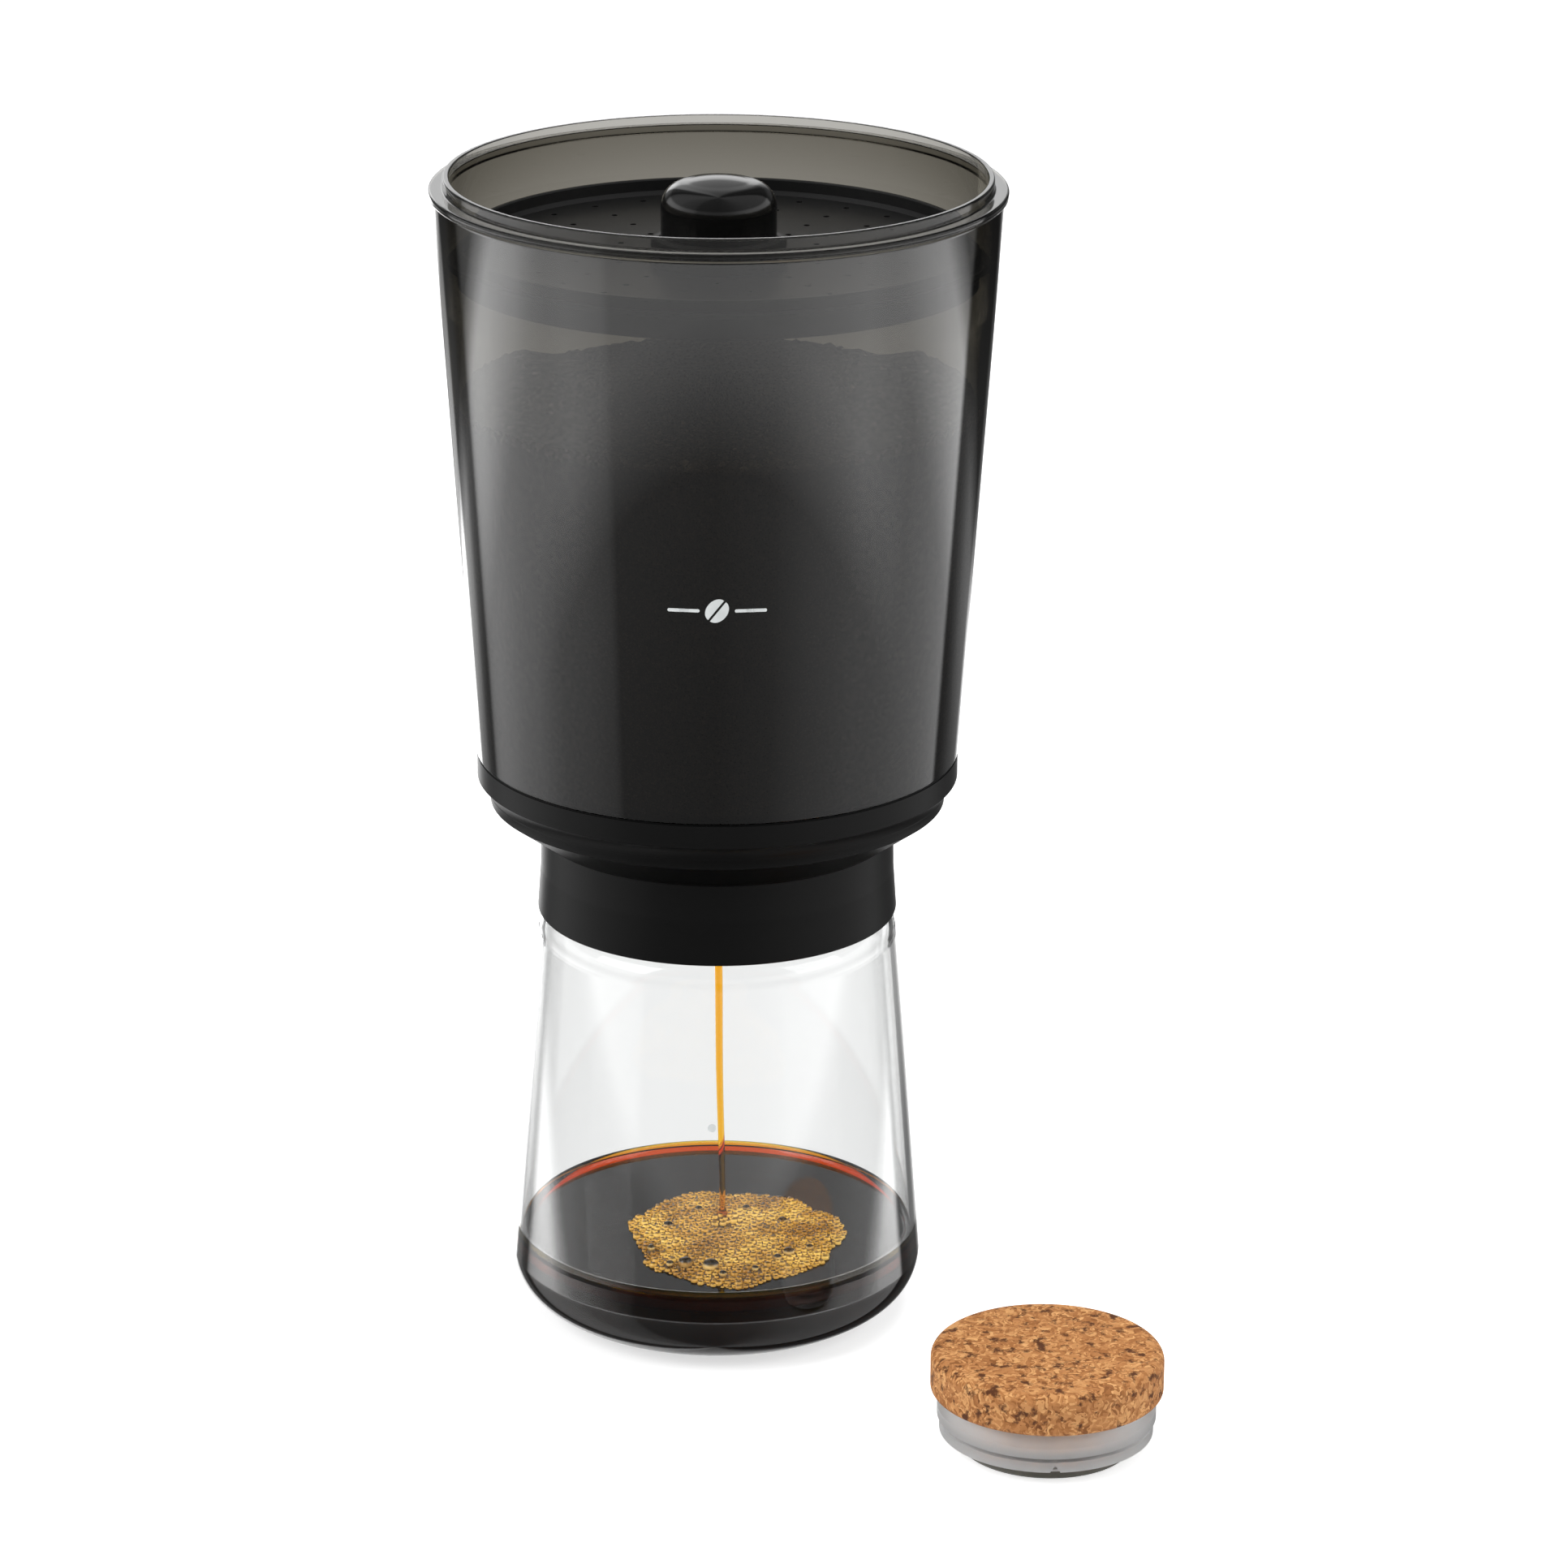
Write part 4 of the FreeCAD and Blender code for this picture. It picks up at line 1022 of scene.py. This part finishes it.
def levels(tree, source, low, high, stops):
    """A curve of levels over the range low to high; stops are (place, level)."""
    share = map_range(tree, source, low, high, 0.0, 1.0)
    top_level = max(level for _, level in stops)
    curve = [((place - low) / (high - low), grey(level / top_level)) for place, level in stops]
    return maths(tree, "MULTIPLY", ramp(tree, share, curve), top_level)


def studio_light(tree):
    """Brightness of the studio by direction: bands round the object, and a low glow in front."""
    split = node(tree, "ShaderNodeSeparateXYZ")
    tree.links.new(node(tree, "ShaderNodeTexCoord").outputs["Generated"], split.inputs[0])
    forward = maths(tree, "MULTIPLY", split.outputs["Y"], -1.0)
    bearing = maths(tree, "ARCTAN2", split.outputs["X"], forward)
    degrees = maths(tree, "MULTIPLY", bearing, 180 / math.pi)
    height = split.outputs["Z"]
    bands = maths(tree, "MULTIPLY", levels(tree, degrees, -180, 180, STUDIO_BANDS),
                  levels(tree, height, -1, 1, STUDIO_HEIGHTS))
    glow = maths(tree, "MULTIPLY", levels(tree, degrees, -180, 180, GLOW_BANDS),
                 levels(tree, height, -1, 1, GLOW_HEIGHTS))
    return maths(tree, "ADD", bands, glow)


def make_world():
    """White to the camera and through glass; reflections see the studio."""
    world = bpy.data.worlds.new("studio")
    bpy.context.scene.world = world
    world.use_nodes = True
    tree = world.node_tree
    tree.nodes.clear()
    output = node(tree, "ShaderNodeOutputWorld")
    background = node(tree, "ShaderNodeBackground")
    rays = node(tree, "ShaderNodeLightPath")
    scattered = maths(tree, "GREATER_THAN", rays.outputs["Diffuse Depth"], 0.5)
    mirrored = maths(tree, "GREATER_THAN", rays.outputs["Glossy Depth"], 0.5)
    through = blend_values(tree, scattered, 1.0, INSIDE_SKY)
    plain = blend_values(tree, rays.outputs["Is Transmission Ray"], DIFFUSE_SKY, through)
    lit = blend_values(tree, mirrored, plain, studio_light(tree))
    chosen = blend_values(tree, rays.outputs["Is Camera Ray"], lit, 1.0)
    tree.links.new(chosen, background.inputs["Strength"])
    tree.links.new(background.outputs[0], output.inputs["Surface"])


def make_lights():
    """Three soft lamps, which neither the camera nor a reflection sees."""
    for name, place, aim, size, power in LAMPS:
        light = bpy.data.lights.new(name, "AREA")
        light.shape = "RECTANGLE"
        light.size, light.size_y = size
        light.energy = power
        lamp = link(name, light)
        lamp.location = place
        lamp.rotation_euler = (Vector(aim) - Vector(place)).to_track_quat("-Z", "Y").to_euler()
        lamp.visible_glossy = False
        lamp.visible_camera = False


def make_camera():
    data = bpy.data.cameras.new("camera")
    data.sensor_width = SENSOR_WIDTH
    data.lens = LENS_PIXELS * SENSOR_WIDTH / PHOTO_SIZE
    data.clip_start = 0.05
    data.clip_end = 20.0
    camera = link("camera", data)
    place = TARGET + Vector((0, -math.cos(CAMERA_PITCH), math.sin(CAMERA_PITCH))) * CAMERA_DISTANCE
    turned = Matrix.Rotation(math.pi / 2 - CAMERA_PITCH, 4, "X") @ Matrix.Rotation(CAMERA_ROLL, 4, "Z")
    camera.matrix_world = Matrix.Translation(place) @ turned
    bpy.context.scene.camera = camera


bpy.context.scene.view_settings.view_transform = "Standard"
make_camera()
make_world()
make_lights()
make_floor()
dress_nodes()
make_carafe()
make_container()
make_base()
make_skirt()
make_knob()
make_stopper()
make_grounds()
make_coffee()
make_stream()
make_foam()
make_marks()
